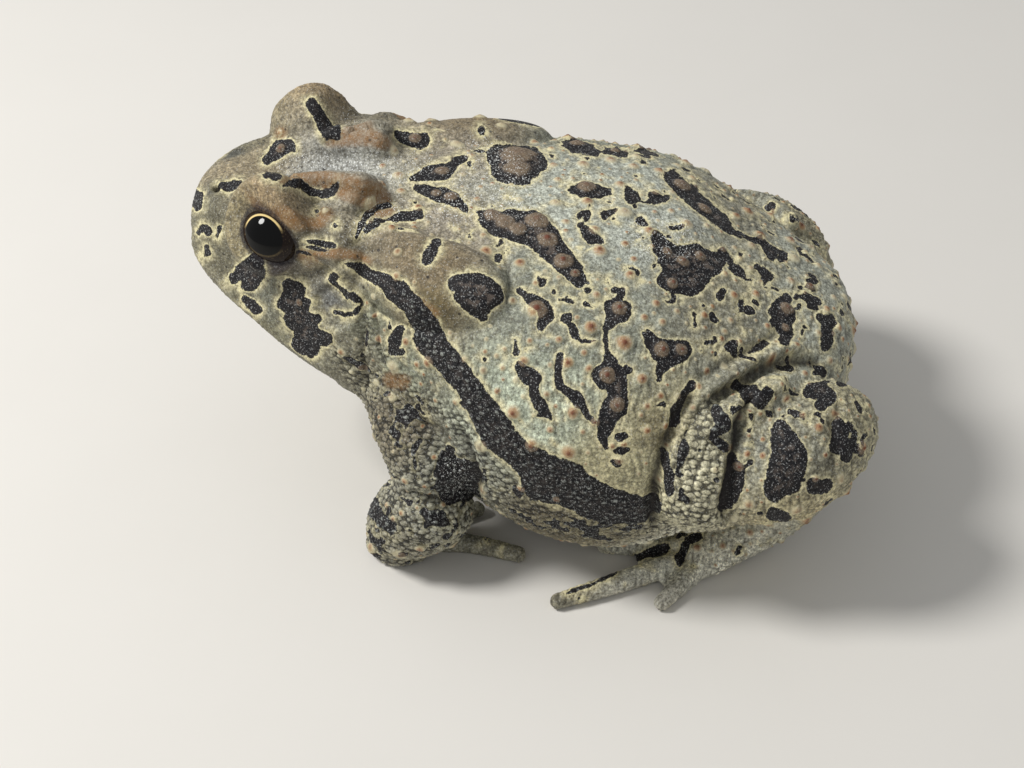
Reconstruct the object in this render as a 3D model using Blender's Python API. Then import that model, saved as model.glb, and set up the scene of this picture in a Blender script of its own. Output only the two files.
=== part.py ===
"""A southern toad, crouched and still, at life size.

The animal faces -Y with its own left side on +X and stands on z = 0.
All sizes below are in millimetres. Lengths along the body are measured back
from the tip of the snout; place() turns them into metres about the middle.
"""
import math
import random

import bmesh
import bpy
from mathutils import Matrix, Vector
from mathutils.bvhtree import BVHTree

MM = 0.001

# Overall sizes
MID_LENGTH = 39.915
JOINT_GAP = 0.3
SECTION_POINTS = 36
LIMB_POINTS = 16
SMALL_POINTS = 8

# Cross sections of the head: back from the snout, half width, top height,
# height of the widest line, bottom height, squareness above, squareness below
HEAD_SECTIONS = [
    (0.6, 2.6, 33.6, 31.4, 30.2, 2.0, 2.0),
    (1.2, 4.6, 35.4, 30.6, 28.8, 2.2, 2.0),
    (2.3, 6.1, 36.6, 29.6, 27.2, 2.4, 2.1),
    (4.2, 7.7, 37.4, 28.2, 25.4, 2.6, 2.2),
    (7.0, 9.7, 37.8, 26.6, 22.4, 2.7, 2.2),
    (10.5, 11.6, 38.0, 25.0, 19.6, 2.7, 2.2),
    (14.5, 13.5, 38.2, 24.0, 17.0, 2.7, 2.2),
    (19.0, 15.5, 38.3, 23.6, 14.8, 2.8, 2.2),
    (22.0, 16.4, 38.4, 23.8, 13.4, 2.9, 2.2),
    (25.0, 17.2, 38.3, 23.8, 11.8, 2.9, 2.2),
]

# Cross sections of the trunk, in the same order of values
TRUNK_SECTIONS = [
    (25.0, 17.2, 38.3, 23.8, 11.8, 2.9, 2.2),
    (28.5, 19.0, 38.2, 23.0, 8.6, 2.8, 2.2),
    (33.0, 21.6, 38.1, 21.8, 5.2, 2.6, 2.3),
    (38.0, 24.0, 38.1, 20.6, 2.2, 2.4, 2.4),
    (43.0, 25.6, 38.0, 19.6, 0.2, 2.3, 2.4),
    (48.0, 26.2, 37.6, 19.0, -0.6, 2.25, 2.4),
    (53.0, 25.8, 36.8, 19.0, -0.6, 2.25, 2.4),
    (58.0, 24.2, 35.0, 19.0, 0.4, 2.25, 2.3),
    (63.0, 21.2, 32.6, 19.0, 2.6, 2.25, 2.3),
    (68.0, 17.2, 30.2, 19.0, 5.4, 2.3, 2.2),
    (72.0, 13.6, 28.4, 19.2, 8.6, 2.3, 2.1),
    (74.8, 9.8, 26.8, 19.6, 12.0, 2.2, 2.0),
    (76.2, 5.8, 24.8, 19.8, 15.4, 2.0, 2.0),
]

# Mouth: the line of the lips rises from its corner to the snout
MOUTH_FRONT = (-4.0, 30.2)
MOUTH_CORNER = (19.5, 21.2)
JAW_INSET = 0.5

# Eye: centre, radius, direction it looks in, opening between the lids
EYE_CENTRE = (10.3, 12.9, 36.55)
EYE_RADIUS = 3.8
EYE_AXIS = (0.88, -0.07, 0.47)
LID_CENTRE = (9.8, 12.2, 37.4)
LID_RADII = (5.3, 4.9, 5.9)
LID_OPENING = (3.5, 2.8)
LID_FLARE = 1.0

# Crests on the skull: paths of ridges with the radius at each point
CREST_PATH = [
    (4.0, 6.5, 37.0, 0.9), (4.4, 11.0, 37.9, 1.2), (4.6, 15.0, 38.7, 1.6),
    (4.9, 18.6, 38.9, 2.1), (5.3, 21.6, 38.7, 2.5),
]
CANTHUS_PATH = [
    (2.6, 2.6, 35.8, 0.8), (5.2, 4.8, 36.0, 1.2), (7.0, 7.6, 36.2, 1.4),
]
POST_ORBITAL_PATH = [
    (5.0, 18.6, 38.0, 1.3), (8.8, 19.6, 38.2, 1.6),
    (11.8, 20.6, 37.3, 1.8), (14.0, 21.6, 34.8, 1.5),
]
NOSTRIL_CENTRE = (4.2, 3.4, 35.6)
NOSTRIL_RADIUS = 0.55
EARDRUM_CENTRE = (14.1, 20.4, 30.6)
EARDRUM_RADII = (1.1, 2.7, 2.9)
EARDRUM_TILT = -18.0
EARDRUM_YAW = 8.0
GLAND_CENTRE = (14.0, 31.0, 34.6)
GLAND_RADII = (5.0, 9.0, 3.2)
GLAND_TILT = 42.0
GLAND_YAW = -12.0

# Limbs of the animal's left side: centre points, half width, half height
ARM_PATH = [
    (12.2, 26.8, 21.0, 5.4, 5.4), (15.8, 28.8, 18.2, 5.2, 5.2),
    (18.6, 31.0, 14.8, 5.0, 5.0), (20.2, 32.2, 12.4, 4.8, 4.8),
]
FOREARM_PATH = [
    (20.6, 32.8, 10.2, 4.6, 4.6), (20.7, 30.8, 8.0, 5.2, 5.0),
    (20.4, 28.2, 5.2, 4.8, 4.4), (19.8, 26.6, 2.8, 3.8, 3.0),
]
HAND_CENTRE = (19.4, 27.4, 1.3)
HAND_RADII = (4.2, 4.2, 1.7)
FINGERS = [
    [(17.4, 26.0, 1.2, 1.5), (14.6, 24.4, 1.1, 1.2), (12.4, 23.6, 1.0, 1.1)],
    [(16.8, 27.0, 1.2, 1.5), (13.4, 26.6, 1.1, 1.2), (10.6, 26.8, 1.0, 1.1)],
    [(17.2, 29.0, 1.2, 1.5), (14.6, 32.2, 1.1, 1.25), (12.6, 35.6, 1.0, 1.1)],
    [(19.2, 30.2, 1.2, 1.5), (18.8, 35.6, 1.1, 1.3), (19.6, 41.6, 1.0, 1.1)],
]
LEG_PATH = [
    (9.0, 69.0, 20.0, 6.6, 6.6), (15.0, 65.4, 19.8, 6.8, 7.2),
    (19.8, 61.8, 17.4, 6.2, 7.2), (21.6, 60.8, 13.6, 5.2, 5.2),
]
SHANK_PATH = [
    (19.6, 63.8, 15.2, 4.0, 4.0), (20.0, 66.8, 17.4, 5.4, 5.6),
    (18.2, 70.4, 18.8, 6.4, 6.6), (14.6, 74.0, 19.6, 5.8, 6.0),
    (11.4, 76.2, 18.4, 4.4, 4.6),
]
FOOT_PATH = [
    (11.6, 74.6, 13.6, 3.6, 3.4), (11.6, 72.4, 7.6, 3.2, 3.0),
    (12.4, 68.6, 3.2, 3.0, 2.8), (14.8, 64.0, 1.8, 3.8, 1.9),
    (16.8, 60.4, 1.4, 4.2, 1.6),
]
TOES = [
    [(13.6, 62.4, 1.2, 1.4), (11.4, 60.4, 1.1, 1.1), (10.4, 59.2, 1.0, 1.0)],
    [(14.4, 60.6, 1.2, 1.5), (12.8, 57.2, 1.1, 1.2), (11.8, 54.6, 1.0, 1.0)],
    [(16.0, 59.4, 1.2, 1.5), (16.2, 54.6, 1.1, 1.3), (16.6, 50.4, 1.0, 1.1)],
    [(18.2, 59.4, 1.2, 1.6), (22.8, 52.4, 1.2, 1.4), (26.4, 46.2, 1.0, 1.0)],
    [(19.0, 61.6, 1.2, 1.5), (22.0, 59.8, 1.1, 1.3), (25.0, 58.0, 1.0, 1.0)],
]

# How far each limb's two ends bulge out past its path
ARM_BULGES = (2.5, 2.6)
FOREARM_BULGES = (2.4, 1.2)
LEG_BULGES = (2.0, 3.4)
SHANK_BULGES = (2.6, 2.6)
FOOT_BULGES = (2.0, 1.0)

# Rings along each limb
ARM_RINGS = 6
FOREARM_RINGS = 7
LEG_RINGS = 9
SHANK_RINGS = 10
FOOT_RINGS = 11
FOOT_POINTS = 12

# The far hind leg is drawn further forward and spread wider than the near one
FAR_LEG_FORWARD = 6.0
FAR_LEG_OUTWARD = 2.6

# Fold of skin over the thigh: centre points and radius
HIP_FOLD_PATH = [
    (23.9, 55.6, 19.6, 1.2), (23.0, 59.6, 23.0, 1.5),
    (19.4, 64.4, 26.0, 1.5), (15.0, 69.0, 26.6, 1.1),
]

# Lips: stations back from the snout, radius and height above the mouth line
LIP_STATIONS = (1.9, 4.2, 7.5, 11.5, 15.5, 18.6)
LIP_RADIUS = 0.75
LIP_RISE = 1.0
LIP_SINK = 0.35

# Warts: seed, number of tries, smallest and largest radius, spacing
WART_SEED = 7
WART_TRIES = 1500
WART_RADIUS_SMALL = 0.75
WART_RADIUS_LARGE = 1.45
WART_SPACING = 4.1
WART_HEIGHT = 0.75
WART_SIDES = 6
WART_BACK_RANGE = (27.0, 73.0)
WART_ANGLES = (-4.0, 184.0)
LEG_WART_SEED = 5
LEG_WART_TRIES = 400
LEG_WART_COUNT = 8
LEG_WART_ANGLES = (-20.0, 70.0)
LEG_WART_RADIUS_LARGE = 1.1
LEG_WART_SPACING = 2.8
LIMB_CLEARANCE = 0.6
FOOT_CLEARANCE = 0.4

# Longer than any ray across the body needs to be
RAY_REACH = 60.0

# Colours of the animal, red, green and blue
SKIN_TAN = (0.46, 0.38, 0.25, 1.0)
SKIN_DARK = (0.12, 0.11, 0.10, 1.0)
SKIN_PALE = (0.56, 0.52, 0.38, 1.0)
EARDRUM_GREY = (0.27, 0.26, 0.24, 1.0)
EYE_BLACK = (0.02, 0.017, 0.012, 1.0)


def place(x, back, z):
    """Turn body measurements in millimetres into a point in metres."""
    return Vector((x * MM, (back - MID_LENGTH) * MM, z * MM))


def clear_scene():
    for old in list(bpy.data.objects):
        bpy.data.objects.remove(old, do_unlink=True)


def mesh_object(name, verts, faces):
    mesh = bpy.data.meshes.new(name)
    mesh.from_pydata([tuple(v) for v in verts], [], faces)
    shape = bmesh.new()
    shape.from_mesh(mesh)
    bmesh.ops.recalc_face_normals(shape, faces=shape.faces)
    shape.to_mesh(mesh)
    shape.free()
    made = bpy.data.objects.new(name, mesh)
    bpy.context.scene.collection.objects.link(made)
    return made


def blend(values, share):
    """Smooth curve through equally weighted knots, share from 0 to 1."""
    last = len(values) - 1
    spot = min(max(share, 0.0), 1.0) * last
    low = min(int(spot), last - 1)
    part = spot - low
    before = values[max(low - 1, 0)]
    start = values[low]
    end = values[low + 1]
    after = values[min(low + 2, last)]
    curve = []
    for a, b, c, d in zip(before, start, end, after):
        slope_b = (c - a) / 2
        slope_c = (d - b) / 2
        h1 = 2 * part ** 3 - 3 * part ** 2 + 1
        h2 = part ** 3 - 2 * part ** 2 + part
        h3 = -2 * part ** 3 + 3 * part ** 2
        h4 = part ** 3 - part ** 2
        curve.append(h1 * b + h2 * slope_b + h3 * c + h4 * slope_c)
    return curve


def signed_power(value, power):
    return math.copysign(abs(value) ** power, value)


def section_ring(section, grow):
    """One closed cross section of head or trunk, widened by grow."""
    back, half, top, wide, bottom, square_up, square_down = section
    ring = []
    for step in range(SECTION_POINTS):
        angle = 2 * math.pi * step / SECTION_POINTS
        across = math.cos(angle)
        up = math.sin(angle)
        square = square_up if up >= 0 else square_down
        rise = (top - wide) if up >= 0 else (wide - bottom)
        x = (half + grow) * signed_power(across, 2 / square)
        z = wide + (rise + grow) * signed_power(up, 2 / square)
        ring.append(place(x, back, z))
    return ring


def loft(name, rings, round_start=0.0, round_end=0.0):
    """Closed skin over a row of rings; a rounded end closes on one point."""
    count = len(rings[0])
    verts = [point for ring in rings for point in ring]
    faces = []
    for row in range(len(rings) - 1):
        for step in range(count):
            after = (step + 1) % count
            low = row * count
            high = low + count
            faces.append((low + step, low + after, high + after, high + step))
    ends = ((0, 1, round_start), (len(rings) - 1, -1, round_end))
    for row, inward, bulge in ends:
        loop = [row * count + step for step in range(count)]
        if bulge == 0.0:
            faces.append(tuple(loop))
            continue
        centre = sum(rings[row], Vector()) / count
        inner = sum(rings[row + inward], Vector()) / count
        outward = (centre - inner).normalized()
        verts.append(centre + outward * bulge * MM)
        tip = len(verts) - 1
        for step in range(count):
            faces.append((loop[step], loop[(step + 1) % count], tip))
    return mesh_object(name, verts, faces)


def stations(sections, per_span):
    """Cross sections blended between the given ones."""
    spans = len(sections) - 1
    total = spans * per_span
    return [blend(sections, step / total) for step in range(total + 1)]


def head_form(grow=0.0):
    rings = [section_ring(s, grow) for s in stations(HEAD_SECTIONS, 2)]
    return loft("head", rings, round_start=0.7 + grow)


def trunk_form(grow=0.0):
    rows = stations(TRUNK_SECTIONS, 2)
    first = list(rows[0])
    first[0] += JOINT_GAP - grow
    rings = [section_ring(s, grow) for s in [first] + rows[1:]]
    return loft("torso", rings, round_end=0.8 + grow)


def across_axes(tangent):
    side = tangent.cross(Vector((0, 0, 1)))
    if side.length < 0.2:
        side = tangent.cross(Vector((0, 1, 0)))
    side.normalize()
    return side, side.cross(tangent).normalized()


def path_rings(path, count, points, grow):
    """Rings along a limb path given as centre, half width, half height."""
    rings = []
    step_size = 0.01
    for step in range(count):
        share = step / (count - 1)
        x, back, z, half_wide, half_high = blend(path, share)
        low = blend(path, max(share - step_size, 0.0))
        high = blend(path, min(share + step_size, 1.0))
        tangent = place(*high[:3]) - place(*low[:3])
        tangent.normalize()
        side, up = across_axes(tangent)
        centre = place(x, back, z)
        ring = []
        for spot in range(points):
            angle = 2 * math.pi * spot / points
            wide = side * math.cos(angle) * (half_wide + grow) * MM
            high_part = up * math.sin(angle) * (half_high + grow) * MM
            ring.append(centre + wide + high_part)
        rings.append(ring)
    return rings


def tube(name, path, points, bulge=0.6, grow=0.0):
    """A round cord along points that carry their own radius."""
    doubled = [(x, back, z, radius, radius) for x, back, z, radius in path]
    count = 2 * len(path) - 1
    rings = path_rings(doubled, count, points, grow)
    return loft(name, rings, bulge * doubled[0][3], bulge * doubled[-1][3])


def ellipsoid(name, centre, radii, around, rows, tilt=0.0, yaw=0.0, grow=0.0):
    """An ellipsoid, tilted about the body's length and turned about the vertical."""
    turn = Matrix.Rotation(math.radians(yaw), 3, "Z") @ Matrix.Rotation(math.radians(tilt), 3, "Y")
    middle = place(*centre)
    rx, ry, rz = [(r + grow) * MM for r in radii]
    rings = []
    for row in range(1, rows):
        polar = math.pi * row / rows
        ring = []
        for step in range(around):
            angle = 2 * math.pi * step / around
            x = rx * math.sin(polar) * math.cos(angle)
            z = rz * math.sin(polar) * math.sin(angle)
            y = -ry * math.cos(polar)
            ring.append(middle + turn @ Vector((x, y, z)))
        rings.append(ring)
    count = around
    verts = [point for ring in rings for point in ring]
    front = len(verts)
    verts.append(middle + turn @ Vector((0, -ry, 0)))
    verts.append(middle + turn @ Vector((0, ry, 0)))
    faces = []
    for row in range(len(rings) - 1):
        for step in range(count):
            after = (step + 1) % count
            low = row * count
            faces.append((low + step, low + after, low + count + after, low + count + step))
    last = (len(rings) - 1) * count
    for step in range(count):
        after = (step + 1) % count
        faces.append((step, front, after))
        faces.append((last + step, last + after, front + 1))
    return mesh_object(name, verts, faces)


def prism(name, profile, half_width):
    """A side profile of body measurements pushed out to both sides."""
    verts = [place(-half_width, back, z) for back, z in profile]
    verts += [place(half_width, back, z) for back, z in profile]
    count = len(profile)
    faces = [tuple(range(count)), tuple(range(count, 2 * count))]
    for step in range(count):
        after = (step + 1) % count
        faces.append((step, after, count + after, count + step))
    return mesh_object(name, verts, faces)


def hide_tool(tool):
    tool.hide_render = True
    tool.display_type = "WIRE"


def combine(body, others, operation):
    """Join other solids to a body, cut them from it or keep what they share."""
    group = bpy.data.collections.new(body.name + "_" + operation.lower())
    for other in others:
        group.objects.link(other)
        hide_tool(other)
    step = body.modifiers.new(operation.lower(), "BOOLEAN")
    step.operation = operation
    step.operand_type = "COLLECTION"
    step.collection = group
    step.solver = "EXACT"
    bpy.context.view_layer.update()
    graph = bpy.context.evaluated_depsgraph_get()
    result = bpy.data.meshes.new_from_object(body.evaluated_get(graph))
    body.modifiers.clear()
    old = body.data
    body.data = result
    bpy.data.meshes.remove(old)
    for other in others:
        bpy.data.objects.remove(other, do_unlink=True)
    bpy.data.collections.remove(group)
    return body


def keep_largest(body):
    """Drop crumbs that a cut left beside the main piece."""
    shape = bmesh.new()
    shape.from_mesh(body.data)
    waiting = set(shape.verts)
    pieces = []
    while waiting:
        piece = set()
        edge = [waiting.pop()]
        while edge:
            vertex = edge.pop()
            piece.add(vertex)
            for link in vertex.link_edges:
                other = link.other_vert(vertex)
                if other in waiting:
                    waiting.discard(other)
                    edge.append(other)
        pieces.append(piece)
    pieces.sort(key=len)
    crumbs = [vertex for piece in pieces[:-1] for vertex in piece]
    bmesh.ops.delete(shape, geom=crumbs, context="VERTS")
    shape.to_mesh(body.data)
    shape.free()
    return body


def carve(body, neighbours):
    """Cut away what neighbours fill and keep the main piece."""
    return keep_largest(combine(body, neighbours, "DIFFERENCE"))


def mirrored(name, source):
    """The same form on the other side of the body."""
    mesh = source.data.copy()
    mesh.transform(Matrix.Scale(-1, 4, Vector((1, 0, 0))))
    mesh.flip_normals()
    made = bpy.data.objects.new(name, mesh)
    bpy.context.scene.collection.objects.link(made)
    return made


def both_sides(form):
    return [form, mirrored(form.name + "_twin", form)]


def ground_slab():
    profile = [(-20, -12), (110, -12), (110, 0), (-20, 0)]
    return prism("ground", profile, 60)


def mouth_prism(inset):
    """The space below the line of the lips, ahead of the mouth's corner."""
    front, front_z = MOUTH_FRONT
    corner, corner_z = MOUTH_CORNER
    profile = [
        (front, front_z - inset), (corner - inset, corner_z - inset),
        (corner - inset, 0.0), (front, 0.0),
    ]
    return prism("mouth_space", profile, 40)


def eye_form(name, grow=0.0):
    radii = (EYE_RADIUS, EYE_RADIUS, EYE_RADIUS)
    return ellipsoid(name, EYE_CENTRE, radii, 16, 9, grow=grow)


def lid_opening():
    """The oval opening between the lids, along the way the eye looks."""
    axis = Vector(EYE_AXIS).normalized()
    start = Vector(EYE_CENTRE) + axis * 1.0
    end = Vector(EYE_CENTRE) + axis * 9.0
    wide, high = LID_OPENING
    path = [(*start, wide, high), (*end, wide + LID_FLARE, high + LID_FLARE)]
    rings = path_rings(path, 3, LIMB_POINTS, 0.0)
    return loft("lid_opening", rings, round_start=0.3, round_end=0.3)


def build_head():
    head = head_form()
    added = []
    lid = ellipsoid("lid", LID_CENTRE, LID_RADII, 14, 9)
    added += both_sides(lid)
    added += both_sides(tube("crest", CREST_PATH, SMALL_POINTS))
    added += both_sides(tube("canthus", CANTHUS_PATH, SMALL_POINTS))
    added += both_sides(tube("post_orbital", POST_ORBITAL_PATH, SMALL_POINTS))
    added += both_sides(lip_form())
    combine(head, added, "UNION")
    removed = [mouth_prism(0.0)]
    removed += both_sides(eye_form("socket", grow=JOINT_GAP))
    removed += both_sides(lid_opening())
    removed += both_sides(nostril_tool())
    removed += both_sides(eardrum_form("drum_seat", grow=JOINT_GAP))
    return carve(head, removed)


def nostril_tool():
    x, back, z = NOSTRIL_CENTRE
    path = [(x - 1.0, back + 0.4, z - 0.8, NOSTRIL_RADIUS), (x + 2.0, back - 0.8, z + 1.6, NOSTRIL_RADIUS)]
    return tube("nostril", path, SMALL_POINTS)


def eardrum_form(name, grow=0.0):
    return ellipsoid(name, EARDRUM_CENTRE, EARDRUM_RADII, 10, 10, EARDRUM_TILT, EARDRUM_YAW, grow)


def gland_form(name, grow=0.0):
    return ellipsoid(name, GLAND_CENTRE, GLAND_RADII, 16, 12, GLAND_TILT, GLAND_YAW, grow)


def ring_half_width(section, height):
    """Half width of a cross section at a height."""
    back, half, top, wide, bottom, square_up, square_down = section
    above = height >= wide
    square = square_up if above else square_down
    reach = (top - wide) if above else (wide - bottom)
    share = min(abs(height - wide) / reach, 1.0)
    return half * (1 - share ** square) ** (1 / square)


def section_at(sections, back):
    """Cross section at a distance back from the snout."""
    low = 0.0
    high = 1.0
    for _ in range(30):
        middle = (low + high) / 2
        if blend(sections, middle)[0] < back:
            low = middle
        else:
            high = middle
    return blend(sections, low)


def mouth_height(back):
    front, front_z = MOUTH_FRONT
    corner, corner_z = MOUTH_CORNER
    share = (back - front) / (corner - front)
    return front_z + (corner_z - front_z) * share


def lip_form():
    """A soft ridge that follows the upper side of the mouth line."""
    path = []
    for back in LIP_STATIONS:
        height = mouth_height(back) + LIP_RISE
        half = ring_half_width(section_at(HEAD_SECTIONS, back), height)
        path.append((half - LIP_SINK, back, height, LIP_RADIUS))
    return tube("lip", path, SMALL_POINTS)


def build_jaw():
    rings = [section_ring(s, -JAW_INSET) for s in stations(HEAD_SECTIONS, 2)]
    jaw = loft("lower_jaw", rings, round_start=0.6)
    return keep_largest(combine(jaw, [mouth_prism(JOINT_GAP)], "INTERSECT"))


def limb(name, path, count, bulges, grow=0.0):
    """A full, rounded limb around its path, with no hollow side."""
    rings = path_rings(path, count, LIMB_POINTS, grow)
    form = loft(name, rings, bulges[0] + grow, bulges[1] + grow)
    shape = bmesh.new()
    for vertex in form.data.vertices:
        shape.verts.new(vertex.co)
    bmesh.ops.convex_hull(shape, input=shape.verts)
    loose = [v for v in shape.verts if not v.link_faces]
    bmesh.ops.delete(shape, geom=loose, context="VERTS")
    bmesh.ops.recalc_face_normals(shape, faces=shape.faces)
    shape.to_mesh(form.data)
    shape.free()
    return form


def bent_limb(name, path, count, bulges, points):
    """A slender limb that follows a bent path."""
    return loft(name, path_rings(path, count, points, 0.0), *bulges)


def wart(spot, outward, radius, height):
    """A low dome with a blunt tip, sunk a little into the skin."""
    side = outward.orthogonal().normalized()
    other = outward.cross(side)
    rings = []
    for spread, rise in ((1.0, -0.5), (0.66, 0.62)):
        ring = []
        for step in range(WART_SIDES):
            angle = 2 * math.pi * step / WART_SIDES
            reach = side * math.cos(angle) + other * math.sin(angle)
            ring.append(spot + reach * radius * spread * MM + outward * height * rise * MM)
        rings.append(ring)
    return loft("wart", rings, round_end=0.38 * height)


def surface_tree(body):
    mesh = body.data
    mesh.calc_loop_triangles()
    corners = [v.co for v in mesh.vertices]
    triangles = [tuple(t.vertices) for t in mesh.loop_triangles]
    return BVHTree.FromPolygons(corners, triangles)


def trunk_sites(tree, keep_out):
    """Places for warts on the back and flanks, spread apart and clear of limbs."""
    chance = random.Random(WART_SEED)
    sites = []
    for _ in range(WART_TRIES):
        back = chance.uniform(*WART_BACK_RANGE)
        angle = math.radians(chance.uniform(*WART_ANGLES))
        radius = chance.uniform(WART_RADIUS_SMALL, WART_RADIUS_LARGE)
        middle = place(0.0, back, section_at(TRUNK_SECTIONS, back)[3])
        way = Vector((math.cos(angle), 0.0, math.sin(angle)))
        spot, outward = tree.ray_cast(middle + way * RAY_REACH * MM, -way)[:2]
        if spot is None:
            continue
        if any((spot - other[0]).length < (WART_SPACING + radius) * MM * 0.8 for other in sites):
            continue
        if any((spot - centre).length < (reach + radius) * MM for centre, reach in keep_out):
            continue
        sites.append((spot, outward, radius))
    return sites


def keep_out_zones():
    """Where limbs and glands meet the trunk, as centres and reaches."""
    zones = []
    for path in (ARM_PATH, FOREARM_PATH, LEG_PATH, SHANK_PATH, FOOT_PATH):
        clearance = FOOT_CLEARANCE if path is FOOT_PATH else LIMB_CLEARANCE
        for step in range(13):
            x, back, z, half_wide, half_high = blend(path, step / 12)
            reach = max(half_wide, half_high) + clearance
            zones.append((place(x, back, z), reach))
            zones.append((place(-x, back, z), reach))
            if path not in (ARM_PATH, FOREARM_PATH):
                zones.append((place(-x - FAR_LEG_OUTWARD, back - FAR_LEG_FORWARD, z), reach))
    x, back, z = GLAND_CENTRE
    for offset in (-6.0, -3.0, 0.0, 3.0, 6.0):
        lean = -offset * math.sin(math.radians(GLAND_YAW))
        zones.append((place(x + lean, back + offset, z), GLAND_RADII[0] + FOOT_CLEARANCE))
        zones.append((place(-x - lean, back + offset, z), GLAND_RADII[0] + FOOT_CLEARANCE))
    return zones


def shank_sites(body):
    """Spread places for warts on the outer side of the shank."""
    tree = surface_tree(body)
    chance = random.Random(LEG_WART_SEED)
    corners = [v.co for v in body.data.vertices]
    middle = sum(corners, Vector()) / len(corners)
    sites = []
    for _ in range(LEG_WART_TRIES):
        angle = math.radians(chance.uniform(*LEG_WART_ANGLES))
        along = chance.uniform(-0.8, 0.8)
        way = Vector((math.cos(angle), along, math.sin(angle))).normalized()
        spot, outward = tree.ray_cast(middle + way * RAY_REACH * MM, -way)[:2]
        if spot is None or len(sites) == LEG_WART_COUNT:
            continue
        if any((spot - other[0]).length < LEG_WART_SPACING * MM for other in sites):
            continue
        sites.append((spot, outward, chance.uniform(WART_RADIUS_SMALL, LEG_WART_RADIUS_LARGE)))
    return sites


def add_warts(body, sites):
    domes = [wart(spot, outward, radius, WART_HEIGHT) for spot, outward, radius in sites]
    return combine(body, domes, "UNION")


def build_torso():
    torso = trunk_form()
    sites = trunk_sites(surface_tree(torso), keep_out_zones())
    folds = both_sides(tube("hip_fold", HIP_FOLD_PATH, SMALL_POINTS))
    combine(torso, folds, "UNION")
    add_warts(torso, sites)
    return carve(torso, [ground_slab()])


def trunk_near():
    """The trunk with the clearance that the limbs keep from it."""
    near = trunk_form(grow=JOINT_GAP)
    folds = both_sides(tube("fold_near", HIP_FOLD_PATH, SMALL_POINTS, grow=JOINT_GAP))
    return combine(near, folds, "UNION")


def build_arm():
    upper = limb("upper_arm_left", ARM_PATH, ARM_RINGS, ARM_BULGES)
    carve(upper, [trunk_near(), head_form(grow=JOINT_GAP)])
    fore = limb("forearm_left", FOREARM_PATH, FOREARM_RINGS, FOREARM_BULGES)
    upper_near = limb("upper_near", ARM_PATH, ARM_RINGS, ARM_BULGES, JOINT_GAP)
    carve(fore, [upper_near, trunk_near(), ground_slab()])
    hand = ellipsoid("hand_left", HAND_CENTRE, HAND_RADII, 14, 8)
    digits = [tube("finger", path, SMALL_POINTS) for path in FINGERS]
    combine(hand, digits, "UNION")
    fore_near = limb("fore_near", FOREARM_PATH, FOREARM_RINGS, FOREARM_BULGES, JOINT_GAP)
    carve(hand, [fore_near, ground_slab()])
    return [upper, fore, hand]


def leg_forms(ending):
    """Thigh, warty shank and foot with its toes, fitted to each other."""
    thigh = limb("thigh" + ending, LEG_PATH, LEG_RINGS, LEG_BULGES)
    shank = limb("shank" + ending, SHANK_PATH, SHANK_RINGS, SHANK_BULGES)
    add_warts(shank, shank_sites(shank))
    thigh_near = limb("thigh_near", LEG_PATH, LEG_RINGS, LEG_BULGES, JOINT_GAP)
    carve(shank, [thigh_near])
    foot = bent_limb("foot" + ending, FOOT_PATH, FOOT_RINGS, FOOT_BULGES, FOOT_POINTS)
    combine(foot, [tube("toe", path, SMALL_POINTS) for path in TOES], "UNION")
    shank_near = limb("shank_near", SHANK_PATH, SHANK_RINGS, SHANK_BULGES, JOINT_GAP)
    carve(foot, [shank_near, ground_slab()])
    return [thigh, shank, foot]


def build_leg():
    return [carve(form, [trunk_near()]) for form in leg_forms("_left")]


def build_far_leg():
    """The leg of the other side, drawn further forward and fitted to the trunk."""
    pieces = []
    shift = Vector((-FAR_LEG_OUTWARD, -FAR_LEG_FORWARD, 0.0)) * MM
    for form in leg_forms("_half"):
        other = mirrored(form.name.replace("_half", "_right"), form)
        bpy.data.objects.remove(form, do_unlink=True)
        other.data.transform(Matrix.Translation(shift))
        pieces.append(carve(other, [trunk_near()]))
    return pieces


def centre_on_origin(nodes):
    """Move all pieces together so that their box is centred over the origin."""
    xs = [vertex.co.x for node in nodes for vertex in node.data.vertices]
    ys = [vertex.co.y for node in nodes for vertex in node.data.vertices]
    move = Vector((-(min(xs) + max(xs)) / 2, -(min(ys) + max(ys)) / 2, 0.0))
    for node in nodes:
        node.data.transform(Matrix.Translation(move))


def paint(node, colour, roughness):
    material = bpy.data.materials.new(node.name + "_surface")
    material.use_nodes = True
    shader = material.node_tree.nodes["Principled BSDF"]
    shader.inputs["Base Color"].default_value = colour
    shader.inputs["Roughness"].default_value = roughness
    node.data.materials.clear()
    node.data.materials.append(material)


def main():
    clear_scene()
    head = build_head()
    jaw = build_jaw()
    torso = build_torso()
    left = [eye_form("eye_left"), eardrum_form("eardrum_left")]
    gland = gland_form("parotoid_gland_left")
    carve(gland, [trunk_near(), head_form(grow=JOINT_GAP)])
    left.append(gland)
    left += build_arm()
    right = [mirrored(form.name.replace("_left", "_right"), form) for form in left]
    left += build_leg()
    right += build_far_leg()
    nodes = [head, jaw, torso] + left + right
    centre_on_origin(nodes)
    for node in nodes:
        colour = SKIN_TAN
        roughness = 0.75
        if node.name.startswith("eye_"):
            colour = EYE_BLACK
            roughness = 0.05
        elif node.name.startswith("eardrum"):
            colour = EARDRUM_GREY
        elif node.name == "lower_jaw" or node.name.startswith("foot"):
            colour = SKIN_PALE
        elif node.name.startswith(("thigh", "forearm")):
            colour = SKIN_DARK
        paint(node, colour, roughness)


main()
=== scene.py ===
"""Looks of a southern toad at life size, crouched and still.

Shapes are worked out in body millimetres: x towards the animal's left, back
from the tip of the snout, z up from the floor. Places that were read from the
photograph are named pixels; lift() puts them on the skin that carries them.
"""
import functools
import math

import bmesh
import bpy
import numpy as np
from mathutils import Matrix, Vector
from mathutils.bvhtree import BVHTree
from mathutils.kdtree import KDTree


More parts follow.
